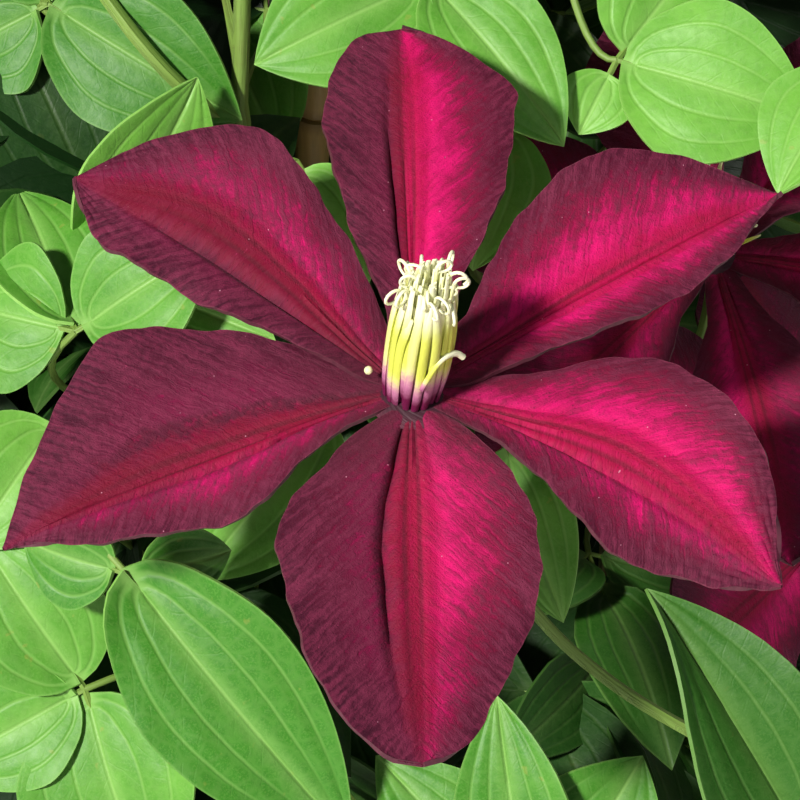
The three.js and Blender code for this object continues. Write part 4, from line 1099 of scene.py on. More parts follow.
class Finish:
    """A material, built from a Principled shader."""

    def __init__(self, name, **plain):
        self.material = bpy.data.materials.new(name)
        self.material.use_nodes = True
        self.tree = self.material.node_tree
        self.shader = self.tree.nodes["Principled BSDF"]
        for key, value in plain.items():
            self.shader.inputs[key.replace("_", " ").title().replace("Ior", "IOR")].default_value = value

    def node(self, kind, settings, inputs, output=0):
        """Add a node with its settings, then the values or links of its sockets."""
        made = self.tree.nodes.new("ShaderNode" + kind)
        for key, value in settings.items():
            setattr(made, key, value)
        for key, value in inputs.items():
            if isinstance(value, Value):
                self.tree.links.new(value.socket, made.inputs[key])
            else:
                made.inputs[key].default_value = value
        return Value(self, made.outputs[output])

    def number(self, value):
        made = self.tree.nodes.new("ShaderNodeValue")
        made.outputs[0].default_value = value
        return Value(self, made.outputs[0])

    def attribute(self, name, output="Fac"):
        return self.node("Attribute", dict(attribute_name=name), {}, output)

    def place(self):
        return self.attribute(PLACE, "Vector")

    def blade_shares(self):
        """The shares across and along a blade, from 0 to 1."""
        return self.split(self.node("UVMap", dict(uv_map=BLADE_UV), {}))[:2]

    def object_place(self):
        return self.node("TexCoord", {}, {}, "Object")

    def split(self, vector):
        made = self.node("SeparateXYZ", {}, {0: vector})
        outputs = made.socket.node.outputs
        return [Value(self, outputs[i]) for i in range(3)]

    def combine(self, x, y, z):
        return self.node("CombineXYZ", {}, {0: x, 1: y, 2: z})

    def noise(self, vector, scale, detail=3.0, roughness=0.5, distortion=0.0):
        inputs = dict(Vector=vector, Scale=scale, Detail=detail, Roughness=roughness, Distortion=distortion)
        return self.node("TexNoise", {}, inputs)

    def cells(self, vector, scale, feature="DISTANCE_TO_EDGE"):
        return self.node("TexVoronoi", dict(feature=feature), dict(Vector=vector, Scale=scale), "Distance")

    def mix(self, factor, first, second):
        """A colour between two, by a factor."""
        inputs = {0: factor, 6: rgba(first), 7: rgba(second)}
        return self.node("Mix", dict(data_type="RGBA", clamp_factor=True), inputs, 2)

    def paint(self, colour=None, roughness=None, height=None, depth=0.1):
        """Link what varies over the surface. Depth is that of the relief, in millimetres."""
        if colour is not None:
            self.tree.links.new(colour.socket, self.shader.inputs["Base Color"])
        if roughness is not None:
            self.tree.links.new(roughness.socket, self.shader.inputs["Roughness"])
        if height is not None:
            relief = self.node("Bump", {}, dict(Strength=1.0, Distance=depth * MM, Height=height))
            self.tree.links.new(relief.socket, self.shader.inputs["Normal"])
        return self.material


def rgba(colour):
    return colour if isinstance(colour, Value) else (*tuple(colour)[:3], 1.0)


def linear(r, g, b):
    """A colour given as 0 to 255 on a screen, as light."""

    def one(x):
        x /= 255
        return x / 12.92 if x <= 0.04045 else ((x + 0.055) / 1.055) ** 2.4

    return (one(r), one(g), one(b))


def shifted(colour, factor):
    """A colour made lighter or darker."""
    return tuple(min(1.0, c * factor) for c in colour)


def hue(name, description, r, g, b):
    return FloatVectorProperty(
        name=name, description=description, subtype="COLOR", size=3, min=0, max=1, default=linear(r, g, b)
    )


class ClematisColours(bpy.types.PropertyGroup):
    """The colours of the plant, its support and its pot."""

    bar: hue("Bar", "Red of the ribbed bar down each sepal", 152, 10, 48)
    magenta: hue("Magenta", "Sepal beside the bar", 222, 16, 112)
    wine: hue("Wine", "Sepal towards its margin", 132, 12, 58)
    dusk: hue("Dusk", "Dull purple of shaded folds and margins", 84, 26, 48)
    bloom_back: hue("Sepal back", "Underside of a sepal", 150, 70, 108)
    # This colour stands for grown leaves and also for shaded ones, as painted shade.
    leaf: hue("Leaf", "Grown leaf", 56, 124, 28)
    # This colour stands for new leaves and also paints the light on lit leaves.
    young_and_lit_leaf: hue("Young leaf", "Young and lit leaf", 116, 180, 66)
    leaf_back: hue("Leaf back", "Underside of a leaf", 122, 166, 92)
    vein: hue("Vein", "Veins and edge of a leaf", 152, 198, 108)
    green_stem: hue("Green stem", "Young stem and stalk", 118, 150, 66)
    brown_stem: hue("Brown stem", "Old stem", 104, 68, 44)
    filament: hue("Filament", "Foot of the stamens", 108, 12, 66)
    anther: hue("Anther", "Middle of the boss", 212, 222, 66)
    ivory: hue("Ivory", "Tips of stamens and styles", 249, 250, 212)
    clay: hue("Clay", "Pot", 178, 98, 62)
    soil: hue("Soil", "Potting soil", 46, 32, 24)
    cane: hue("Cane", "Bamboo", 194, 160, 96)
    twine: hue("Twine", "Jute tie", 176, 142, 92)
    floor: hue("Floor", "Floor of the stage", 226, 224, 218)


class ClematisSizes(bpy.types.PropertyGroup):
    """Detail and light that may be changed without moving the plant."""

    sepal_columns: IntProperty(
        name="Sepal columns", description="Faces across a sepal of the front bloom",
        default=44, min=12, max=60,
    )
    sepal_rows: IntProperty(
        name="Sepal rows", description="Faces along a sepal of the front bloom",
        default=84, min=20, max=110,
    )
    stamens: IntProperty(
        name="Stamens", description="Stamens of the front bloom", default=96, min=20, max=160
    )
    vein_relief: FloatProperty(
        name="Vein relief", description="How far a leaf swells between its veins, in metres",
        default=0.0007, min=0, max=0.002, unit="LENGTH", precision=4,
    )
    key_power: FloatProperty(
        name="Key light", description="Power of the key light, in watts",
        default=60, min=0, max=500, unit="POWER",
    )


def colours():
    return bpy.context.scene.clematis_colours


def sizes():
    return bpy.context.scene.clematis_sizes


def sepal_finishes():
    """The face, back and edge of a sepal. Its tone is its dusk, the painted shade that darkens it."""
    hues = colours()
    face = Finish("sepal_face", specular_ior_level=0.16, sheen_weight=0.05, sheen_roughness=0.4)
    face.shader.inputs["Sheen Tint"].default_value = (0.95, 0.55, 0.7, 1)
    place = face.place()
    x, y, number = face.split(place)
    u, t = face.blade_shares()
    s = 1 - 2 * u
    side = abs(s)
    dusk = face.attribute(TONE)
    edge = face.attribute(EDGE)
    broad = face.noise(place, 0.11, 2)
    patch = face.noise(place, 0.3, 3, 0.6)
    mottle = face.noise(place, 0.8, 4, 0.65)
    fine = face.noise(place, 3.2, 2, 0.6)
    fan_line = y - SEPAL_SLANT * abs(x) + 2.4 * (patch - 0.5)
    fan = face.noise(face.combine(fan_line * 0.95, abs(x) * 0.14, number), 1.0, 4, 0.65, 0.5)
    ribs_along = face.noise(face.combine(x * 1.9, y * 0.05, number), 1.0, 3, 0.5)
    outward = (side + 0.9 * (broad - 0.5) + 0.8 * (fan - 0.5) + 0.2 * t).step(0.15, 0.85)
    colour = face.mix(outward, hues.magenta, hues.wine)
    blotch = (patch.step(0.44, 0.66) * 0.6 + mottle.step(0.45, 0.75) * 0.5) * (0.25 + 0.75 * side)
    colour = face.mix(blotch * 0.55, colour, shifted(hues.wine, 0.34))
    # Near black to dusky purple: painted shade where a side has dusk, and the margins' own dusky colour.
    dusk_shade_and_margin_colour = face.mix((fan * 0.6 + mottle * 0.4).step(0.36, 0.62), linear(56, 14, 34), shifted(hues.dusk, 1.7))
    # Painted shade by each side's dusk, broken by mottle and veins, and more of it towards the tip.
    darker_to_tip = 0.26 * t.step(0.5, 1.0) - 0.14
    painted_dusk_shade = (dusk * 1.25 + 0.9 * (mottle - 0.5) + 0.9 * (fan - 0.5) + darker_to_tip).step(0.02, 1.0)
    colour = face.mix(painted_dusk_shade * 0.92, colour, dusk_shade_and_margin_colour)
    margin = (side + 0.8 * (fan - 0.5) + 0.6 * (mottle - 0.5) + 0.35 * t).step(0.62, 1.12)
    colour = face.mix(margin * 0.9, colour, dusk_shade_and_margin_colour)
    bar_edge = 0.16 * (ribs_along - 0.5) + 0.24 * (patch - 0.5) + 0.16 * (mottle - 0.5)
    bar = 1 - (side + bar_edge).step(0.06, 0.34)
    bar_tip = 1 - t.step(0.82, 1.0)
    # The bar is painted darker where the sepal has dusk, as painted shade, and towards its tip.
    bar_colour = face.mix((dusk * 0.8 + 0.5 * t).step(0.4, 1.0), hues.bar, shifted(hues.bar, 0.5))
    colour = face.mix(bar * (0.3 + 0.52 * bar_tip) * (0.5 + 0.8 * ribs_along), colour, bar_colour)
    groove = 1 - abs(side - 0.06).step(0.008, 0.034)
    rib_shade = groove * (1 - t.step(0.45, 0.95)) * (0.4 + 0.6 * mottle)
    colour = face.mix(rib_shade * 0.7, colour, linear(74, 24, 36))
    # Painted shade: dark marks in the fold beside the ribs, on the sides with more dusk.
    fold = 1 - abs(side - 0.25 + 0.16 * (patch - 0.5)).step(0.02, 0.09)
    fold = fold * (1 - t.step(0.5, 0.95)) * (dusk - 0.35).step(0.0, 0.5) * mottle.step(0.3, 0.55)
    colour = face.mix(fold * 0.5, colour, linear(44, 12, 26))
    # Painted shade at the sepal's foot, under the boss and between the feet of the other sepals.
    foot = 1 - t.step(0.02, 0.3)
    colour = face.mix(foot * 0.6 * (0.5 + mottle), colour, linear(76, 28, 42))
    flecks = fine.step(0.6, 0.72) * mottle.step(0.42, 0.62)
    colour = face.mix(flecks * 0.6, colour, linear(38, 4, 20))
    glints = fine.step(0.34, 0.22) * fan.step(0.35, 0.6)
    colour = face.mix(glints * 0.4, colour, linear(206, 70, 120))
    specks = 1 - face.cells(place, 0.3, "F1").step(0.02, 0.045)
    colour = face.mix(specks * 0.7, colour, linear(216, 150, 172))
    rim = 1 - edge.step(0.05, 0.2)
    colour = face.mix(rim * 0.25, colour, linear(140, 76, 92))
    height = 0.9 * fan + 0.6 * mottle + 0.2 * fine
    roughness = 0.52 + 0.25 * mottle
    face_finish = face.paint(colour, roughness, height, 0.36)

    back = Finish("sepal_back", specular_ior_level=0.25, sheen_weight=0.1, sheen_roughness=0.4)
    place = back.place()
    x, y, number = back.split(place)
    fan = back.noise(back.combine((y - SEPAL_SLANT * abs(x)) * 1.1, abs(x) * 0.12, number), 1.0, 4, 0.6, 0.3)
    mottle = back.noise(place, 0.8, 4, 0.6)
    bar = 1 - abs(x).step(1.4, 4.2)
    colour = back.mix(fan.step(0.3, 0.7), hues.bloom_back, shifted(hues.bloom_back, 0.62))
    colour = back.mix(bar * 0.75, colour, linear(150, 92, 96))
    colour = back.mix(mottle.step(0.5, 0.75) * 0.4, colour, hues.wine)
    back_finish = back.paint(colour, 0.45 + 0.2 * mottle, fan + 0.4 * mottle, 0.3)

    edge_cut = Finish("sepal_edge", roughness=0.6)
    grain = edge_cut.noise(edge_cut.place(), 1.2, 3)
    edge_finish = edge_cut.paint(edge_cut.mix(grain, linear(62, 18, 34), linear(104, 46, 64)))
    return face_finish, back_finish, edge_finish


def hub_finish():
    """The receptacle: green below, the dusky wine of the sepals' feet above, and near black at its top as
    painted shade between the feet.
    """
    hues = colours()
    finish = Finish("hub", roughness=0.6)
    grain = finish.noise(finish.place(), 1.2, 4)
    tone = finish.attribute(TONE)
    colour = finish.mix((tone + 0.6 * (grain - 0.5)).step(-2.4, -1.0), hues.green_stem, hues.dusk)
    # Painted shade: the top of the hub, seen between the sepals' feet, is painted near black.
    colour = finish.mix(tone.step(-0.6, 0.4) * 0.8, colour, linear(44, 8, 26))
    return finish.paint(colour, 0.5 + 0.3 * grain, grain, 0.2)


def leaf_finishes():
    """The face, back and edge of a leaf. Its tone runs from old and shaded to new and lit, and its shade is
    painted: the lower the tone, the darker the leaf is painted, down to near-black green.
    """
    hues = colours()
    made = []
    for name, base, young_and_lit, depth, shaded in (
        ("leaf_face", hues.leaf, hues.young_and_lit_leaf, 0.24, 1.0),
        ("leaf_back", shifted(hues.leaf_back, 0.8), hues.leaf_back, 0.35, 0.55),
    ):
        finish = Finish(name, roughness=0.42, specular_ior_level=0.32)
        place = finish.place()
        x, y, _ = finish.split(place)
        u, t = finish.blade_shares()
        side = abs(1 - 2 * u)
        tone = finish.attribute(TONE)
        edge = finish.attribute(EDGE)
        half = abs(x) / side.most(0.02)
        broad = finish.noise(place, 0.09, 3)
        mottle = finish.noise(place, 0.6, 3, 0.6)
        veins = 1 - abs(x).step(0.05, 0.7)
        for at in LEAF_VEINS:
            away = abs(side + 0.05 * (broad - 0.5) - at) * half
            veins = veins.most((1 - away.step(0.05, 0.6)) * (1 - t.step(0.6, 1.0)) * 0.7)
        branch_line = (y - BRANCH_SLANT * abs(x) + 7 * (broad - 0.5)) * 0.75
        branches = (1 - abs(branch_line.sine()).step(0.0, 0.3)) * mottle.step(0.35, 0.6)
        net = 1 - finish.cells(place, 0.3).step(0.0, 0.2)
        fine_net = finish.noise(place, 2.4, 2, 0.7).step(0.4, 0.7)
        lines = (veins * 0.42).most(branches * 0.08).most(net * 0.1).most(fine_net * 0.14)
        # Between the grown colour and the lighter one, by tone: partly age, partly painted light and shade.
        colour = finish.mix((tone + 0.7 * (broad - 0.5) + 0.3 * (mottle - 0.5)).step(0.0, 1.0), base, young_and_lit)
        colour = finish.mix((mottle.step(0.35, 0.8)) * 0.3, colour, shifted(base, 0.55))
        around = (1 - abs(x).step(0.3, 3.2)) * 0.25
        colour = finish.mix(around, colour, hues.vein)
        colour = finish.mix(lines, colour, hues.vein)
        colour = finish.mix((1 - edge.step(0.1, 0.5)) * 0.2, colour, hues.vein)
        spots = finish.noise(place, 0.35, 2).step(0.7, 0.76) * 0.3
        colour = finish.mix(spots, colour, linear(150, 150, 70))
        # Painted shade: a leaf of low tone is painted near-black green, less so on its back.
        painted_deep_shade = 1 - (tone + 0.2 * (mottle - 0.5)).step(-1.1, 0.0)
        colour = finish.mix(painted_deep_shade * shaded, colour, linear(12, 40, 10))
        relief = 0.45 * mottle + 0.5 * broad - 0.6 * veins - 0.1 * branches
        made.append(finish.paint(colour, 0.38 + 0.22 * mottle, relief, depth))
    rim = Finish("leaf_edge", roughness=0.5)
    grain = rim.noise(rim.place(), 0.8, 2)
    colour = rim.mix(grain, hues.vein, hues.young_and_lit_leaf)
    # The edge takes the same painted shade.
    painted_deep_shade = 1 - rim.attribute(TONE).step(-1.1, 0.3)
    made.append(rim.paint(rim.mix(painted_deep_shade, colour, linear(20, 58, 14))))
    return made


def stem_finish():
    """Stems and stalks. Their tone runs from green to brown."""
    hues = colours()
    finish = Finish("stem", roughness=0.5)
    place = finish.place()
    x, y, number = finish.split(place)
    tone = finish.attribute(TONE)
    ridges = finish.noise(finish.combine(x * 1.6, y * 0.06, number), 1.0, 3, 0.6)
    blotches = finish.noise(place, 0.16, 4, 0.6)
    brown = (tone + 0.6 * (blotches - 0.5) + 0.35 * (ridges - 0.5)).step(0.25, 0.8)
    colour = finish.mix(ridges, shifted(hues.green_stem, 1.25), shifted(hues.green_stem, 0.7))
    bark = finish.mix(ridges, shifted(hues.brown_stem, 1.3), shifted(hues.brown_stem, 0.5))
    colour = finish.mix(brown, colour, bark)
    return finish.paint(colour, 0.4 + 0.3 * blotches, ridges, 0.25)


def boss_finish():
    """Stamens and styles: purple feet, yellow-green middles and ivory tips, by their tone."""
    hues = colours()
    finish = Finish("stamens", roughness=0.5)
    place = finish.place()
    number = finish.split(place)[2]
    grain = finish.noise(place, 1.1, 3)
    own = finish.noise(finish.combine(number, number * 0.37, 0.0), 1.0, 0)
    tone = finish.attribute(TONE)
    limit = tone + 0.1 * (grain - 0.5) + 0.3 * (own - 0.5)
    colour = finish.mix(limit.step(0.08, 0.26), hues.filament, linear(204, 128, 168))
    colour = finish.mix(limit.step(0.22, 0.38), colour, linear(240, 238, 170))
    yellow = own.step(0.3, 0.5) * limit.step(0.28, 0.4) * (1 - limit.step(0.6, 0.78))
    colour = finish.mix(yellow * 0.85, colour, hues.anther)
    colour = finish.mix(tone.step(0.55, 0.85), colour, hues.ivory)
    return finish.paint(colour, 0.4 + 0.3 * grain, grain, 0.1)


def bud_finish():
    """A closed bud: green at its foot, wine at its tip, pale along its seams and downy."""
    hues = colours()
    finish = Finish("bud", roughness=0.6, sheen_weight=0.5, sheen_roughness=0.4)
    place = finish.place()
    tone = finish.attribute(TONE)
    u = finish.blade_shares()[0]
    ribs = ((u * (SEPALS * 2 * math.pi)).sine() + 1) * 0.5
    down = finish.noise(place, 1.6, 4, 0.7)
    colour = finish.mix((tone + 0.3 * (down - 0.5)).step(0.1, 0.9), linear(112, 118, 66), hues.wine)
    colour = finish.mix(ribs.step(0.6, 1.0) * 0.6, colour, linear(150, 128, 92))
    colour = finish.mix(down.step(0.5, 0.75) * 0.45, colour, linear(196, 170, 168))
    return finish.paint(colour, 0.5 + 0.3 * down, ribs + down, 0.3)


def clay_finish():
    """Thrown clay with grit, a damp foot and pale salts towards the rim."""
    hues = colours()
    finish = Finish("clay", roughness=0.85)
    place = finish.object_place()
    x, y, z = finish.split(place)
    broad = finish.noise(place, 11, 4, 0.6)
    grain = finish.noise(place, 160, 4, 0.65)
    grit = finish.noise(place, 620, 2, 0.6)
    throwing = finish.noise(finish.combine(x * 4, y * 4, z * 420), 1.0, 2, 0.4)
    colour = finish.mix(broad.step(0.25, 0.75), shifted(hues.clay, 0.78), shifted(hues.clay, 1.18))
    colour = finish.mix(grit.step(0.58, 0.75) * 0.5, colour, shifted(hues.clay, 0.5))
    damp = 1 - (z + 0.05 * (broad - 0.5)).step(0.012, 0.075)
    colour = finish.mix(damp * 0.45, colour, shifted(hues.clay, 0.5))
    salts = (broad + 0.6 * (grain - 0.5)).step(0.5, 0.74)
    lip = (z + 0.02 * (grain - 0.5)).step(0.12, 0.15) * 0.4 + 0.35
    colour = finish.mix(salts * lip * 0.5, colour, linear(224, 206, 190))
    return finish.paint(colour, 0.72 + 0.25 * grain, 0.5 * throwing + 0.6 * grain + 0.35 * grit, 0.5)


def soil_finish():
    """Dark clods with lighter fibres between them."""
    hues = colours()
    finish = Finish("soil", roughness=0.95)
    place = finish.object_place()
    clods = finish.noise(place, 90, 5, 0.7)
    fibre = finish.cells(place, 260)
    colour = finish.mix(clods.step(0.3, 0.7), shifted(hues.soil, 0.55), shifted(hues.soil, 1.7))
    colour = finish.mix((1 - fibre.step(0.02, 0.12)) * 0.35, colour, linear(96, 66, 44))
    return finish.paint(colour, 0.85 + 0.15 * clods, clods + 0.4 * fibre, 1.6)


def bark_finish():
    """Bits of bark, mottled light and dark."""
    finish = Finish("bark_bits", roughness=0.9)
    place = finish.object_place()
    grain = finish.noise(place, 300, 4, 0.6)
    colour = finish.mix(grain.step(0.3, 0.7), linear(62, 40, 26), linear(138, 98, 64))
    return finish.paint(colour, 0.75 + 0.2 * grain, grain, 0.6)


def cane_finish():
    """Bamboo with fine fibres and stains, damp at its foot and darker at its joints."""
    hues = colours()
    finish = Finish("bamboo", roughness=0.45, coat_weight=0.15)
    x, y, z = finish.split(finish.object_place())
    fibre = finish.noise(finish.combine(x * 900, y * 900, z * 14), 1.0, 4, 0.6)
    stains = finish.noise(finish.combine(x * 60, y * 60, z * 22), 1.0, 4, 0.65)
    colour = finish.mix(fibre, shifted(hues.cane, 0.72), shifted(hues.cane, 1.2))
    colour = finish.mix(stains.step(0.52, 0.74) * 0.7, colour, linear(120, 84, 46))
    damp = 1 - z.step(0.15, 0.21)
    colour = finish.mix(damp * 0.6, colour, linear(96, 74, 50))
    tone = finish.attribute(TONE)
    colour = finish.mix(tone * 0.6, colour, linear(92, 66, 40))
    return finish.paint(colour, 0.32 + 0.3 * stains, fibre, 0.18)


def twine_finish():
    """Jute, light and dark along the fibres that twist round each strand."""
    hues = colours()
    finish = Finish("jute", roughness=0.9, sheen_weight=0.3)
    place = finish.place()
    x, y, number = finish.split(place)
    fibres = finish.noise(finish.combine(x * 3 + y * 2.2, y * 0.4, number), 1.0, 4, 0.65)
    colour = finish.mix(fibres.step(0.25, 0.75), shifted(hues.twine, 0.5), shifted(hues.twine, 1.3))
    return finish.paint(colour, 0.8 + 0.2 * fibres, fibres, 0.35)


# The pieces

# The distance within which points are merged where straps and strands are too thin for the usual one
FINE_MERGE = 0.004
TONE_SEED = 900

# How finely a leaf is made: the columns and rows of a blade, then the steps and sides of its stalk
LEAF_DETAIL = {"hand_set": (20, 26, 16, 7), "drawn": (12, 16, 10, 7), "inner": (7, 9, 6, 5)}


def blade_mesh(one, columns, rows, tone, number):
    """The sheet of a leaflet, with its veins sunk and its flesh raised between them."""
    sheet, t, s = laid_sheet(columns, rows)
    t = t**BLADE_ROWS
    side = np.abs(s)
    foot = rounded_foot(t)
    half = one["width"] / 2 * leaf_profile(t) * foot
    bays = np.interp(side, [0, *LEAF_VEINS, 1], [0, 1, 2, 2.6])
    swell = np.abs(np.sin(np.pi * bays)) * np.sqrt(np.clip(np.sin(np.pi * t), 0, 1))
    bay_long = t * one["long"] - BRANCH_SLANT * side * half
    swell *= 0.7 + 0.3 * np.abs(np.sin(bay_long * 0.45))
    relief = sizes().vein_relief / MM * swell * one["long"] / TERMINAL_LENGTH
    relief += 0.25 * np.sin(bay_long * 0.5 + number) * side * (1 - t)
    points = leaf_point(one, t, s, relief, foot)
    return blade(sheet, points, t, s, half, one["long"], tone, number)


def leaf_age_and_painted_shade(leaf, vine, roll):
    """The age of a leaf and its painted shade: lighter up the vine, painted dark as shade among the inner
    leaves, less so where they face away from the front, and darker by its own painted shade.
    """
    if leaf["fine"] == "inner":
        away = dot(leaf["leaflets"][0]["out"], VIEW_IN)
        return -1.1 + 0.5 * roll() + 0.9 * smooth((away + 0.2) / 0.6)
    high = (leaf["start"] - STEM_FOOT) / (vine["top"] - STEM_FOOT)
    return min(1, 0.24 + 0.35 * high**2 + 0.4 * roll()) - leaf.get("shade", 0)


# The midrib under a leaflet: the shares of its length where it is set out, and its radii there
RIB_REACH = np.array([0, 0.08, 0.22, 0.45, 0.7, 0.92])
RIB_RADII = [0.6, 0.55, 0.48, 0.36, 0.26, 0.14]


def leaf_stalks(leaf, number):
    """The tubes of a leaf: its long stalk, a short stalk to each leaflet and the midribs beneath."""
    steps, sides = LEAF_DETAIL[leaf["fine"]][2:]
    path = bezier(*leaf["path"], steps)
    share = np.linspace(0, 1, len(path))
    radii = PETIOLE_RADIUS * (1 - 0.25 * share) + 0.7 * bump(share, 0.06)
    tubes = [tube(path, radii, sides, 0.15 + 0.25 * (1 - share), number)]
    for one in leaf["leaflets"]:
        rib = leaf_point(one, RIB_REACH, np.zeros(len(RIB_REACH))) - one["out"] * BLADE_THICK * 0.45
        thin = np.linalg.norm(one["foot"] - leaf["joint"]) > 1
        lead = [leaf["joint"], (leaf["joint"] + one["foot"]) / 2] if thin else [leaf["joint"]]
        line = np.vstack([lead, rib])
        radii = np.concatenate([np.full(len(lead), 0.62), RIB_RADII])
        tubes.append(tube(line, radii * (0.75 if leaf["fine"] == "inner" else 1), 5, 0.12, number))
    return tubes


def stem_tube(vine, growths, number):
    """The stem of a vine, swollen where something grows from it."""
    heights = np.arange(STEM_FOOT, vine["top"] + 0.1, STEM_STEP)
    path = np.array([stem_at(vine, z) for z in heights])
    path[-1] = stem_at(vine, vine["top"])
    radii = lerp(STEM_RADIUS, STEM_TIP_RADIUS, (heights - STEM_FOOT) / (vine["top"] - STEM_FOOT))
    swelling = sum(bump(heights - z, NODE_LONG) for z in growths)
    radii = radii + NODE_SWELL * np.clip(swelling, 0, 1)
    tone = 0.95 - 0.75 * smooth((heights - SOIL_TOP) / (vine["top"] - SOIL_TOP - 60))
    return tube(path, radii, STEM_SIDES, tone, number, ribs=STEM_RIBS)


def stalk_tube(carried, below, number):
    """The stalk of a bloom or bud. A shoot that is laid out point by point has a node on its way."""
    path = stalk(carried, below, STALK_STEPS)
    if "via" in carried:
        path = spline(path, 6)
    share = np.linspace(0, 1, len(path))
    radii = PEDICEL_RADIUS * (1 - 0.12 * share)
    if "via" in carried:
        radii = radii + 1.1 * bump(share - 0.32, 0.022)
    radii = radii + 0.7 * bump(share, 0.03)
    return tube(path, radii, 8, 0.1 + 0.2 * (1 - share), number, ribs=4)


def make_vine(index, leaves, leaf_materials, stem_material):
    """A vine: its stem, its leaves, and the stalks of the blooms and buds that it carries."""
    vine = VINES[index]
    roll = dice(vine["seed"] + TONE_SEED)
    blades, tubes = [], []
    for number, leaf in enumerate(leaves):
        tone = leaf_age_and_painted_shade(leaf, vine, roll)
        columns, rows = LEAF_DETAIL[leaf["fine"]][:2]
        for i, one in enumerate(leaf["leaflets"]):
            blades.append(blade_mesh(one, columns, rows, tone, number * 3 + i))
        tubes.extend(leaf_stalks(leaf, number))
    growths = [leaf["start"] for leaf in leaves if leaf["fine"] != "inner"]
    for number, (carried, below) in enumerate(CARRIED):
        if carried["vine"] == index:
            growths.append(carried["start"])
            tubes.append(stalk_tube(carried, below, number))
    tubes.append(stem_tube(vine, growths, index))
    foliage = join_meshes(vine["name"] + "_foliage", blades)
    merge_doubles(foliage)
    thicken(foliage, BLADE_THICK, *leaf_materials)
    stems = welded("stems", tubes, stem_material)
    made = join_pieces(vine["name"] + "_foliage", [foliage, stems])
    shade(made)
    hand_over(made, "foliage", vine["name"])


def sepal_mesh(bloom, axes, sepal, grid, number):
    """The sheet of a sepal. Its painted shade, its dusk, goes over from one side to the other across the bar.
    """
    sheet, t, s = laid_sheet(*grid)
    points = sepal_surface(bloom, axes, sepal, t, s)
    width = sepal_width(sepal, t, s)
    left, right = sepal["dusk"]
    mixed = smooth((s + 0.24) / 0.48)
    tone = lerp(right, left, mixed)
    return blade(sheet, points, t, s, width, sepal["long"], tone, number)


def make_sepals(index, materials):
    """The sepals of a bloom with the hub that they grow from."""
    bloom = BLOOMS[index]
    axes = bloom_frame(bloom)
    front = index == 0
    sepals = FRONT_SEPALS if front else drawn_sepals(bloom)
    grid = (sizes().sepal_columns, sizes().sepal_rows) if front else SEPAL_GRID
    meshes = [sepal_mesh(bloom, axes, sepal, grid, index * SEPALS + i) for i, sepal in enumerate(sepals)]
    name = f"bloom_{index + 1}_petals"
    made = join_meshes(name, meshes)
    merge_doubles(made)
    thicken(made, SEPAL_THICK, *materials[:3])
    heights = np.array(HUB_HEIGHTS)
    hub = tube(bloom["at"] + heights[:, None] * axes[0], HUB_RADII, 24, heights)
    made = join_pieces(name, [made, welded("hub", [hub], materials[3])])
    shade(made, 60)
    hand_over(made, "sepal", f"bloom_{index + 1}_sepals")


def bundle_of(bloom):
    return FRONT_BUNDLE if bloom is BLOOMS[0] else BUNDLE


def boss_point(bloom, axes, h, r, turn):
    """A point of a boss at a height, a distance out and a turn, in a bundle that may lean aside."""
    axis, up, right = axes
    across = r * math.cos(turn) + bundle_of(bloom)["drift"] * h
    return bloom["at"] + axis * h + right * across + up * (r * math.sin(turn))


def stamen(bloom, axes, i, count, between, number):
    """A stamen: a strap that narrows a little at its foot and is rounded at its tip."""
    front = bloom is BLOOMS[0]
    bundle = bundle_of(bloom)
    turn = i * BOSS_TURN + between(-0.2, 0.2)
    share = math.sqrt((i + 0.5) / count)
    reach = between(0.93, 1.06) * (1.25 - 0.25 * share if front else 1)
    lean = bloom["spread"] * share
    top = (BOSS_HEIGHT - 6 * share) * between(0.84, 1.06) * math.cos(lean)
    out = bundle["tip"] * share * reach + math.sin(lean) * 22
    drift = between(-0.25, 0.25)
    low = boss_point(bloom, axes, 0.7, (bundle["foot"] + 0.1) * share, turn)
    foot = boss_point(bloom, axes, 7, (bundle["foot"] + 0.5) * share + 0.2, turn)
    mid = boss_point(bloom, axes, lerp(9, top, 0.5), lerp(bundle["middle"] * share + 0.6, out, 0.5), turn)
    tip = boss_point(bloom, axes, top, out + bundle["flare"], turn + drift)
    path = spline([low, foot, mid, tip], 5)
    grown = np.linspace(0, 1, len(path))
    broad = axes[1] * math.cos(turn) - axes[2] * math.sin(turn)
    wide = between(0.62, 0.9) if front else 0.55
    radii = wide * (0.85 + 0.15 * smooth(grown / 0.2) - 0.5 * smooth((grown - 0.8) / 0.2))
    tone = grown * top / BOSS_HEIGHT
    return tube(path, radii, 8, tone, number, broad=broad, flat=0.5)


def style(bloom, axes, i, count, between, number):
    """A style with a curled white tip."""
    bundle = bundle_of(bloom)
    turn = i * BOSS_TURN + between(-0.3, 0.3)
    share = math.sqrt((i + 0.5) / count)
    top = BOSS_HEIGHT * between(0.88, 1.0) - 4 * share
    out = bundle["tip"] * share * (1 + bloom["spread"])
    low = boss_point(bloom, axes, 6, 1.6 * share, turn)
    mid = boss_point(bloom, axes, 0.6 * top, 0.7 * out + 0.4, turn)
    high = boss_point(bloom, axes, top, out, turn)
    body = spline([low, mid, high], 6)
    outward = unit(high - boss_point(bloom, axes, top, 0, 0))
    radius = between(0.9, 1.4)
    bend = np.linspace(0.3, between(3.8, 6), 12)[:, None]
    axis = axes[0]
    side = np.cross(axis, outward) * between(-0.8, 0.8)
    curl = high + (outward + side) * radius * (1 - np.cos(bend)) + axis * radius * np.sin(bend)
    path = np.vstack([body, curl])
    grown = np.linspace(0, 1, len(path))
    return tube(path, 0.36 - 0.12 * grown, 6, 0.35 + 0.75 * grown, number)


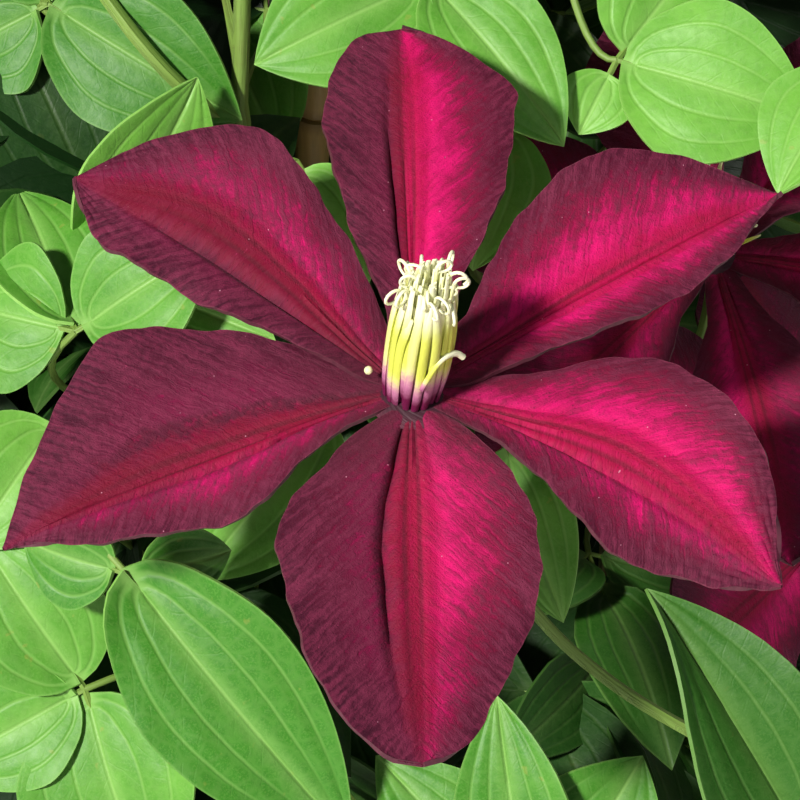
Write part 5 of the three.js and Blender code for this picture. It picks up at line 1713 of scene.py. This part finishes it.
def boss_core(bloom, axes):
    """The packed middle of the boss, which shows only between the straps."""
    path = [boss_point(bloom, axes, h, 0, 0) for h in CORE_HEIGHTS]
    radii = CORE_RADII * bundle_of(bloom)["foot"] / FRONT_BUNDLE["foot"]
    return tube(path, radii, 14, CORE_HEIGHTS / BOSS_HEIGHT, 3, ribs=11)


def make_boss(index, material):
    """The stamens and styles of a bloom round their packed middle."""
    bloom = BLOOMS[index]
    axes = bloom_frame(bloom)
    front = index == 0
    between = drawer(dice(BOSS_SEED + index))
    stamens = sizes().stamens if front else STAMENS_BEHIND
    styles = STYLES if front else STYLES_BEHIND
    meshes = [boss_core(bloom, axes)]
    meshes += [stamen(bloom, axes, i, stamens, between, i) for i in range(stamens)]
    meshes += [style(bloom, axes, i, styles, between, 40 + i) for i in range(styles)]
    if front:
        meshes.append(stray_stamen())
        meshes.append(pollen_grain())
    name = f"bloom_{index + 1}"
    close_piece(name + "_stamens", meshes, material, 60, "stamen", name + "_boss", FINE_MERGE)


# In the front view
STRAY_LINE = [
    (1.6, 0.4, -9), (2.8, 2.5, -11.6), (4.2, 4.6, -12.6),
    (5.6, 5.9, -12.4), (7.2, 6.4, -11), (8.4, 5.8, -9.6),
]
POLLEN_PLACE = (-7.2, 3.6, -2.6)
POLLEN_RADIUS = 0.75


def stray_stamen():
    """One ivory stamen has fallen out of the bundle to the lower right."""
    path = spline([seen(*p) for p in STRAY_LINE], 4)
    grown = np.linspace(0, 1, len(path))
    return tube(path, 0.45 + 0.12 * grown, 8, 0.15 + 1.2 * grown, 90)


def pollen_grain():
    """A ball of pollen that lies on the sepals to the left of the boss."""
    heights = np.cos(np.linspace(math.pi, 0, 7))
    path = seen(*POLLEN_PLACE) + heights[:, None] * VIEW_IN * -POLLEN_RADIUS
    return tube(path, POLLEN_RADIUS * np.sqrt(np.clip(1 - heights**2, 0.01, 1)), 10, 0.7, 91)


def make_bud(index, material):
    """A bud of closed sepals: a slim pointed egg with raised seams."""
    bud = BUDS[index]
    axis = aim(bud["azimuth"], bud["lift"])
    shares = np.linspace(0, 1, 25)
    wide = np.interp(shares, BUD_SHARES, BUD_WIDTHS)
    wide = np.convolve(np.pad(wide, 1, mode="edge"), [0.25, 0.5, 0.25], "valid")
    path = bud["at"] + shares[:, None] * bud["long"] * axis
    mesh = tube(path, wide * BUD_RADIUS, BUD_SIDES, shares, index, ribs=SEPALS)
    name = f"bud_{index + 1}"
    close_piece(name + "_closed", [mesh], material, 70, "bud", name)


def make_cane(i, material):
    """A bamboo cane: a closed round rod with a swollen ring at each joint."""
    low, high = cane_at(i, CANE_FOOT), cane_at(i, CANE_TOP)
    long = np.linalg.norm(high - low)
    profile = [(CANE_RADIUS - 0.3, 0), (CANE_RADIUS, 0.4)]
    joints = [long * (k + CANE_STAGGER * i) / CANE_JOINTS for k in range(1, CANE_JOINTS)]
    for at in joints:
        profile += [(CANE_RADIUS + wider, at + step) for step, wider in CANE_RING]
    profile += [(CANE_RADIUS - 0.2, long - 0.5), (CANE_RADIUS - 0.6, long), (CANE_RADIUS - 1.5, long)]
    profile.append((CANE_RADIUS - 1.7, long - 6))
    made = turned_solid(f"cane_{i + 1}_bamboo", profile, CANE_SIDES)
    heights = np.array([v.co.z / MM for v in made.data.vertices])
    near = np.abs(heights[:, None] - np.array(joints)).min(axis=1)
    tone = made.data.attributes.new(TONE, "FLOAT", "POINT")
    tone.data.foreach_set("value", bump(near, 1.6))
    lean = Vector(high - low).to_track_quat("Z", "Y").to_matrix().to_4x4()
    made.data.transform(Matrix.Translation(Vector(low * MM)) @ lean)
    made.data.materials.append(material)
    shade(made, 40)
    hand_over(made, "cane", f"cane_{i + 1}")


def twine_strands(path, number, radius=0.78, lay=4.6):
    """Two strands that twist round a path, once in each length of the lay."""
    along = np.gradient(path, axis=0)
    along /= np.linalg.norm(along, axis=1)[:, None]
    out = path * (1, 1, 0)
    out = out - along * dot(out, along)[:, None]
    out /= np.linalg.norm(out, axis=1)[:, None]
    other = np.cross(along, out)
    strands = []
    for k in range(2):
        angle = 2 * math.pi * walked(path) / lay + math.pi * k
        strand = path + blend(out, other, angle) * TWINE_APART
        strands.append(tube(strand, radius, 7, 0.5, number + k))
    return strands


def make_tie(material):
    """Jute twine wound round the three canes, with a knot and two short ends at the front."""
    around = np.linspace(0, 2 * math.pi * TIE_TURNS, 64 * TIE_TURNS)
    low = TIE_HEIGHT - TIE_TALL / 2 + 1.4
    radius = TIE_RADIUS + 1.15
    heights = low + (TIE_TALL - 2.8) * around / around[-1]
    start = math.radians(-90)
    coil = np.column_stack([radius * np.cos(around + start), radius * np.sin(around + start), heights])
    strands = twine_strands(coil, 1)
    front = radius + 1.3
    knot_turn = np.linspace(0, 2 * math.pi * KNOT_TURNS, 40)
    knot = np.column_stack([
        2.0 * np.sin(knot_turn), -front - 0.5 + 0.9 * np.cos(knot_turn), TIE_HEIGHT - 2.5 + knot_turn * 0.5,
    ])
    strands += twine_strands(knot, 5, 0.62, 4)
    for side in (-1, 1):
        line = [(0, -front, TIE_HEIGHT - 1), (side * 3.5, -front - 1.6, TIE_HEIGHT - 4)]
        line += [(side * 5.5, -front - 1.8, TIE_HEIGHT - 10), (side * 6 + 1, -front - 1, TIE_HEIGHT - 17)]
        strands += twine_strands(spline(line, 8), 9 + side, 0.6, 4)
    close_piece("twine_tie", strands, material, 70, "twine", "tie", FINE_MERGE)


def inner_radius(z):
    """The radius of the pot's inside at a height."""
    return lerp(INNER_BASE_RADIUS, INNER_RIM_RADIUS, (z - POT_FLOOR) / (POT_HEIGHT - POT_FLOOR))


def make_pot(material):
    """The clay pot, raised ring by ring, with four drain holes and its edges eased."""
    neck = POT_HEIGHT - COLLAR_HEIGHT
    profile = [(POT_BASE_RADIUS - 2, 0), (POT_BASE_RADIUS, 2)]
    for k in range(1, POT_RINGS + 1):
        share = k / POT_RINGS
        profile.append((lerp(POT_BASE_RADIUS, POT_NECK_RADIUS, share), lerp(2, neck, share)))
    profile += [(POT_RIM_RADIUS - 1.5, neck + 1.5), (POT_RIM_RADIUS, POT_HEIGHT - 3)]
    profile += [(POT_RIM_RADIUS - 3, POT_HEIGHT), (INNER_RIM_RADIUS, POT_HEIGHT)]
    profile += [(inner_radius(SOIL_TOP - 8), SOIL_TOP - 8), (INNER_BASE_RADIUS, POT_FLOOR)]
    made = turned_solid("clay_pot", profile, POT_SIDES)
    for azimuth in DRAIN_AZIMUTHS:
        at = aim(azimuth, 0) * DRAIN_CIRCLE
        deselect()
        bpy.ops.mesh.primitive_cylinder_add(
            vertices=DRAIN_SIDES, radius=DRAIN_RADIUS * MM, depth=4 * POT_FLOOR * MM,
            location=Vector(at * MM),
        )
        drill = bpy.context.object
        apply_modifier(made, "BOOLEAN", operation="DIFFERENCE", object=drill, solver="EXACT")
        bpy.data.objects.remove(drill)
    apply_modifier(
        made, "BEVEL", width=POT_BEVEL * MM, segments=3, limit_method="ANGLE",
        angle_limit=math.radians(28),
    )
    made.data.materials.clear()
    made.data.materials.append(material)
    shade(made, 35)
    hand_over(made, "clay", "pot")


def make_soil(soil_material, bark_material):
    """The filling of soil with a crumbled top, and bits of bark scattered on it."""
    rim = inner_radius(SOIL_TOP) - GAP
    foot = POT_FLOOR + GAP
    sheet, t, s = laid_sheet(*SOIL_GRID)
    turn = -s * math.pi
    radius = np.interp(t, [0, 0.12, 0.2, 1], [0, inner_radius(foot) - GAP, rim, 0])
    height = np.interp(t, [0, 0.12, 0.2, 0.201, 1], [foot, foot, SOIL_TOP, SOIL_TOP, SOIL_TOP])
    x, y = radius * np.cos(turn), radius * np.sin(turn)
    loose = smooth((rim - radius) / 3) * (t > 0.2)
    crumbs = 0.9 * np.sin(x * 1.3 + np.sin(y) * 2) * np.sin(y * 1.1 + np.sin(x * 0.8) * 2)
    height = height + (lumps(x, y) + crumbs) * loose
    points = np.column_stack([x, y, height])
    made = welded("potting_soil", [shaped(sheet, points, points, 0.5)], soil_material)
    bits = bark_bits(rim)
    bits.data.materials.append(bark_material)
    made = join_pieces("potting_soil", [made, bits])
    shade(made, 50)
    hand_over(made, "soil", "soil")


def bark_bits(rim):
    """Bark bits and clods: one small rough lump, copied, squashed and scattered over the soil."""
    deselect()
    bpy.ops.mesh.primitive_ico_sphere_add(subdivisions=1, radius=1)
    lump = bpy.context.object
    edit_all()
    bpy.ops.transform.vertex_random(offset=0.22, seed=4)
    bpy.ops.object.mode_set(mode="OBJECT")
    base = np.array([v.co for v in lump.data.vertices])
    roll = dice(BARK_SEED)
    between = drawer(roll)
    pieces = []
    for _ in range(BARK_BITS):
        out, turn = rim * math.sqrt(roll()) * 0.96, between(0, 2 * math.pi)
        at = vec(out * math.cos(turn), out * math.sin(turn), 0)
        at[2] = SOIL_TOP + lumps(at[0], at[1]) + 0.4
        size = vec(between(1.2, 4.2), between(0.9, 2.2), between(0.5, 1.3))
        spin = Matrix.Rotation(between(0, 6.28), 3, "Z") @ Matrix.Rotation(between(-0.5, 0.5), 3, "X")
        mesh = lump.data.copy()
        mesh.vertices.foreach_set("co", ((base * size) @ np.array(spin).T * MM + at * MM).ravel())
        pieces.append(linked("bit", mesh))
    bpy.data.objects.remove(lump)
    return join_pieces("bits", pieces)


# The stage, in metres and watts

SENSOR_WIDTH = 36
FLOOR_RADIUS = 40
FLOOR_SIDES = 96
SKY_COLOUR = (0.9, 0.95, 1.0, 1)
SKY_STRENGTH = 0.14
FILL_POWER = 3.5
BACK_POWER = 26
PLANT_MIDDLE = (0, 0, 0.35)


def area_light(name, place, target, size, power, tint):
    """A round soft light that looks at a target."""
    light = bpy.data.lights.new(name, "AREA")
    light.shape = "DISK"
    light.size = size
    light.energy = power
    light.color = tint
    made = linked(name, light)
    made.location = place
    made.rotation_euler = (Vector(target) - Vector(place)).to_track_quat("-Z", "Y").to_euler()


def set_stage():
    """A plain pale floor, soft studio light and the camera at the photograph's viewing angle."""
    deselect()
    bpy.ops.mesh.primitive_circle_add(vertices=FLOOR_SIDES, radius=FLOOR_RADIUS, fill_type="NGON")
    floor = bpy.context.object
    floor.name = "floor"
    finish = Finish("floor", roughness=0.8)
    grain = finish.noise(finish.object_place(), 3, 3)
    tint = colours().floor
    floor.data.materials.append(finish.paint(finish.mix(grain, shifted(tint, 0.96), tint)))

    world = bpy.data.worlds.new("studio")
    world.use_nodes = True
    backdrop = world.node_tree.nodes["Background"]
    backdrop.inputs["Color"].default_value = SKY_COLOUR
    backdrop.inputs["Strength"].default_value = SKY_STRENGTH
    bpy.context.scene.world = world

    middle = FRONT_BLOOM * MM
    area_light("key", (-0.95, -1.42, 1.48), middle, 0.22, sizes().key_power, (1.0, 0.96, 0.9))
    area_light("fill", (1.6, -1.2, 1.2), PLANT_MIDDLE, 1.6, FILL_POWER, (0.92, 0.96, 1.0))
    area_light("back", (0.9, 1.8, 1.9), PLANT_MIDDLE, 1.4, BACK_POWER, (1.0, 0.98, 0.95))

    camera = bpy.data.cameras.new("camera")
    camera.sensor_width = SENSOR_WIDTH
    camera.lens = camera.sensor_width * LOOK_FROM / VIEW_WIDE
    holder = linked("camera", camera)
    target = FRONT_BLOOM - VIEW_RIGHT * VIEW_SHIFT[0] - VIEW_UP * VIEW_SHIFT[1]
    holder.location = Vector((target - VIEW_IN * LOOK_FROM) * MM)
    holder.rotation_euler = Vector(VIEW_IN).to_track_quat("-Z", "Y").to_euler()
    bpy.context.scene.camera = holder
    bpy.context.scene.view_settings.view_transform = "Standard"


# The add-on


class CLEMATIS_OT_stage(bpy.types.Operator):
    """Set up the floor, the lights and the camera"""

    bl_idname = "clematis.stage"
    bl_label = "Stage"

    def execute(self, context):
        set_stage()
        return {"FINISHED"}


class CLEMATIS_OT_pot(bpy.types.Operator):
    """Raise the clay pot"""

    bl_idname = "clematis.pot"
    bl_label = "Pot"

    def execute(self, context):
        make_pot(clay_finish())
        return {"FINISHED"}


class CLEMATIS_OT_soil(bpy.types.Operator):
    """Fill the pot with soil"""

    bl_idname = "clematis.soil"
    bl_label = "Soil"

    def execute(self, context):
        make_soil(soil_finish(), bark_finish())
        return {"FINISHED"}


class CLEMATIS_OT_canes(bpy.types.Operator):
    """Stand the three canes"""

    bl_idname = "clematis.canes"
    bl_label = "Canes"

    def execute(self, context):
        material = cane_finish()
        for i in range(CANES):
            make_cane(i, material)
        return {"FINISHED"}


class CLEMATIS_OT_tie(bpy.types.Operator):
    """Tie the canes with twine"""

    bl_idname = "clematis.tie"
    bl_label = "Tie"

    def execute(self, context):
        make_tie(twine_finish())
        return {"FINISHED"}


class CLEMATIS_OT_vines(bpy.types.Operator):
    """Grow the three vines with their leaves and stalks"""

    bl_idname = "clematis.vines"
    bl_label = "Vines"

    def execute(self, context):
        leaves = place_leaves()
        leaf_materials = leaf_finishes()
        stem_material = stem_finish()
        for index in range(len(VINES)):
            make_vine(index, leaves[index], leaf_materials, stem_material)
        return {"FINISHED"}


class CLEMATIS_OT_blooms(bpy.types.Operator):
    """Open the blooms: their sepals, stamens and styles"""

    bl_idname = "clematis.blooms"
    bl_label = "Blooms"

    def execute(self, context):
        materials = [*sepal_finishes(), hub_finish()]
        material = boss_finish()
        for index in range(len(BLOOMS)):
            make_sepals(index, materials)
            make_boss(index, material)
        return {"FINISHED"}


class CLEMATIS_OT_buds(bpy.types.Operator):
    """Close the buds"""

    bl_idname = "clematis.buds"
    bl_label = "Buds"

    def execute(self, context):
        material = bud_finish()
        for index in range(len(BUDS)):
            make_bud(index, material)
        return {"FINISHED"}


OPERATORS = (
    CLEMATIS_OT_stage,
    CLEMATIS_OT_pot,
    CLEMATIS_OT_soil,
    CLEMATIS_OT_canes,
    CLEMATIS_OT_tie,
    CLEMATIS_OT_vines,
    CLEMATIS_OT_blooms,
    CLEMATIS_OT_buds,
)


class CLEMATIS_PT_panel(bpy.types.Panel):
    """The pieces of the plant, and their sizes and colours"""

    bl_label = "Clematis"
    bl_idname = "CLEMATIS_PT_panel"
    bl_space_type = "VIEW_3D"
    bl_region_type = "UI"
    bl_category = "Clematis"

    def draw(self, context):
        for operator in OPERATORS:
            self.layout.operator(operator.bl_idname)
        for group in (context.scene.clematis_sizes, context.scene.clematis_colours):
            for name in group.__annotations__:
                self.layout.prop(group, name)


CLASSES = (ClematisColours, ClematisSizes, *OPERATORS, CLEMATIS_PT_panel)


def register():
    for cls in CLASSES:
        bpy.utils.register_class(cls)
    bpy.types.Scene.clematis_colours = PointerProperty(type=ClematisColours)
    bpy.types.Scene.clematis_sizes = PointerProperty(type=ClematisSizes)


def unregister():
    del bpy.types.Scene.clematis_sizes
    del bpy.types.Scene.clematis_colours
    for cls in reversed(CLASSES):
        bpy.utils.unregister_class(cls)


def main():
    """Make every piece in order, then remove the flat sheets that they were made from."""
    register()
    for name in ("stage", "pot", "soil", "canes", "tie", "vines", "blooms", "buds"):
        getattr(bpy.ops.clematis, name)()
    for mesh in FLAT_SHEETS.values():
        bpy.data.meshes.remove(mesh)
    FLAT_SHEETS.clear()


if __name__ == "__main__":
    main()
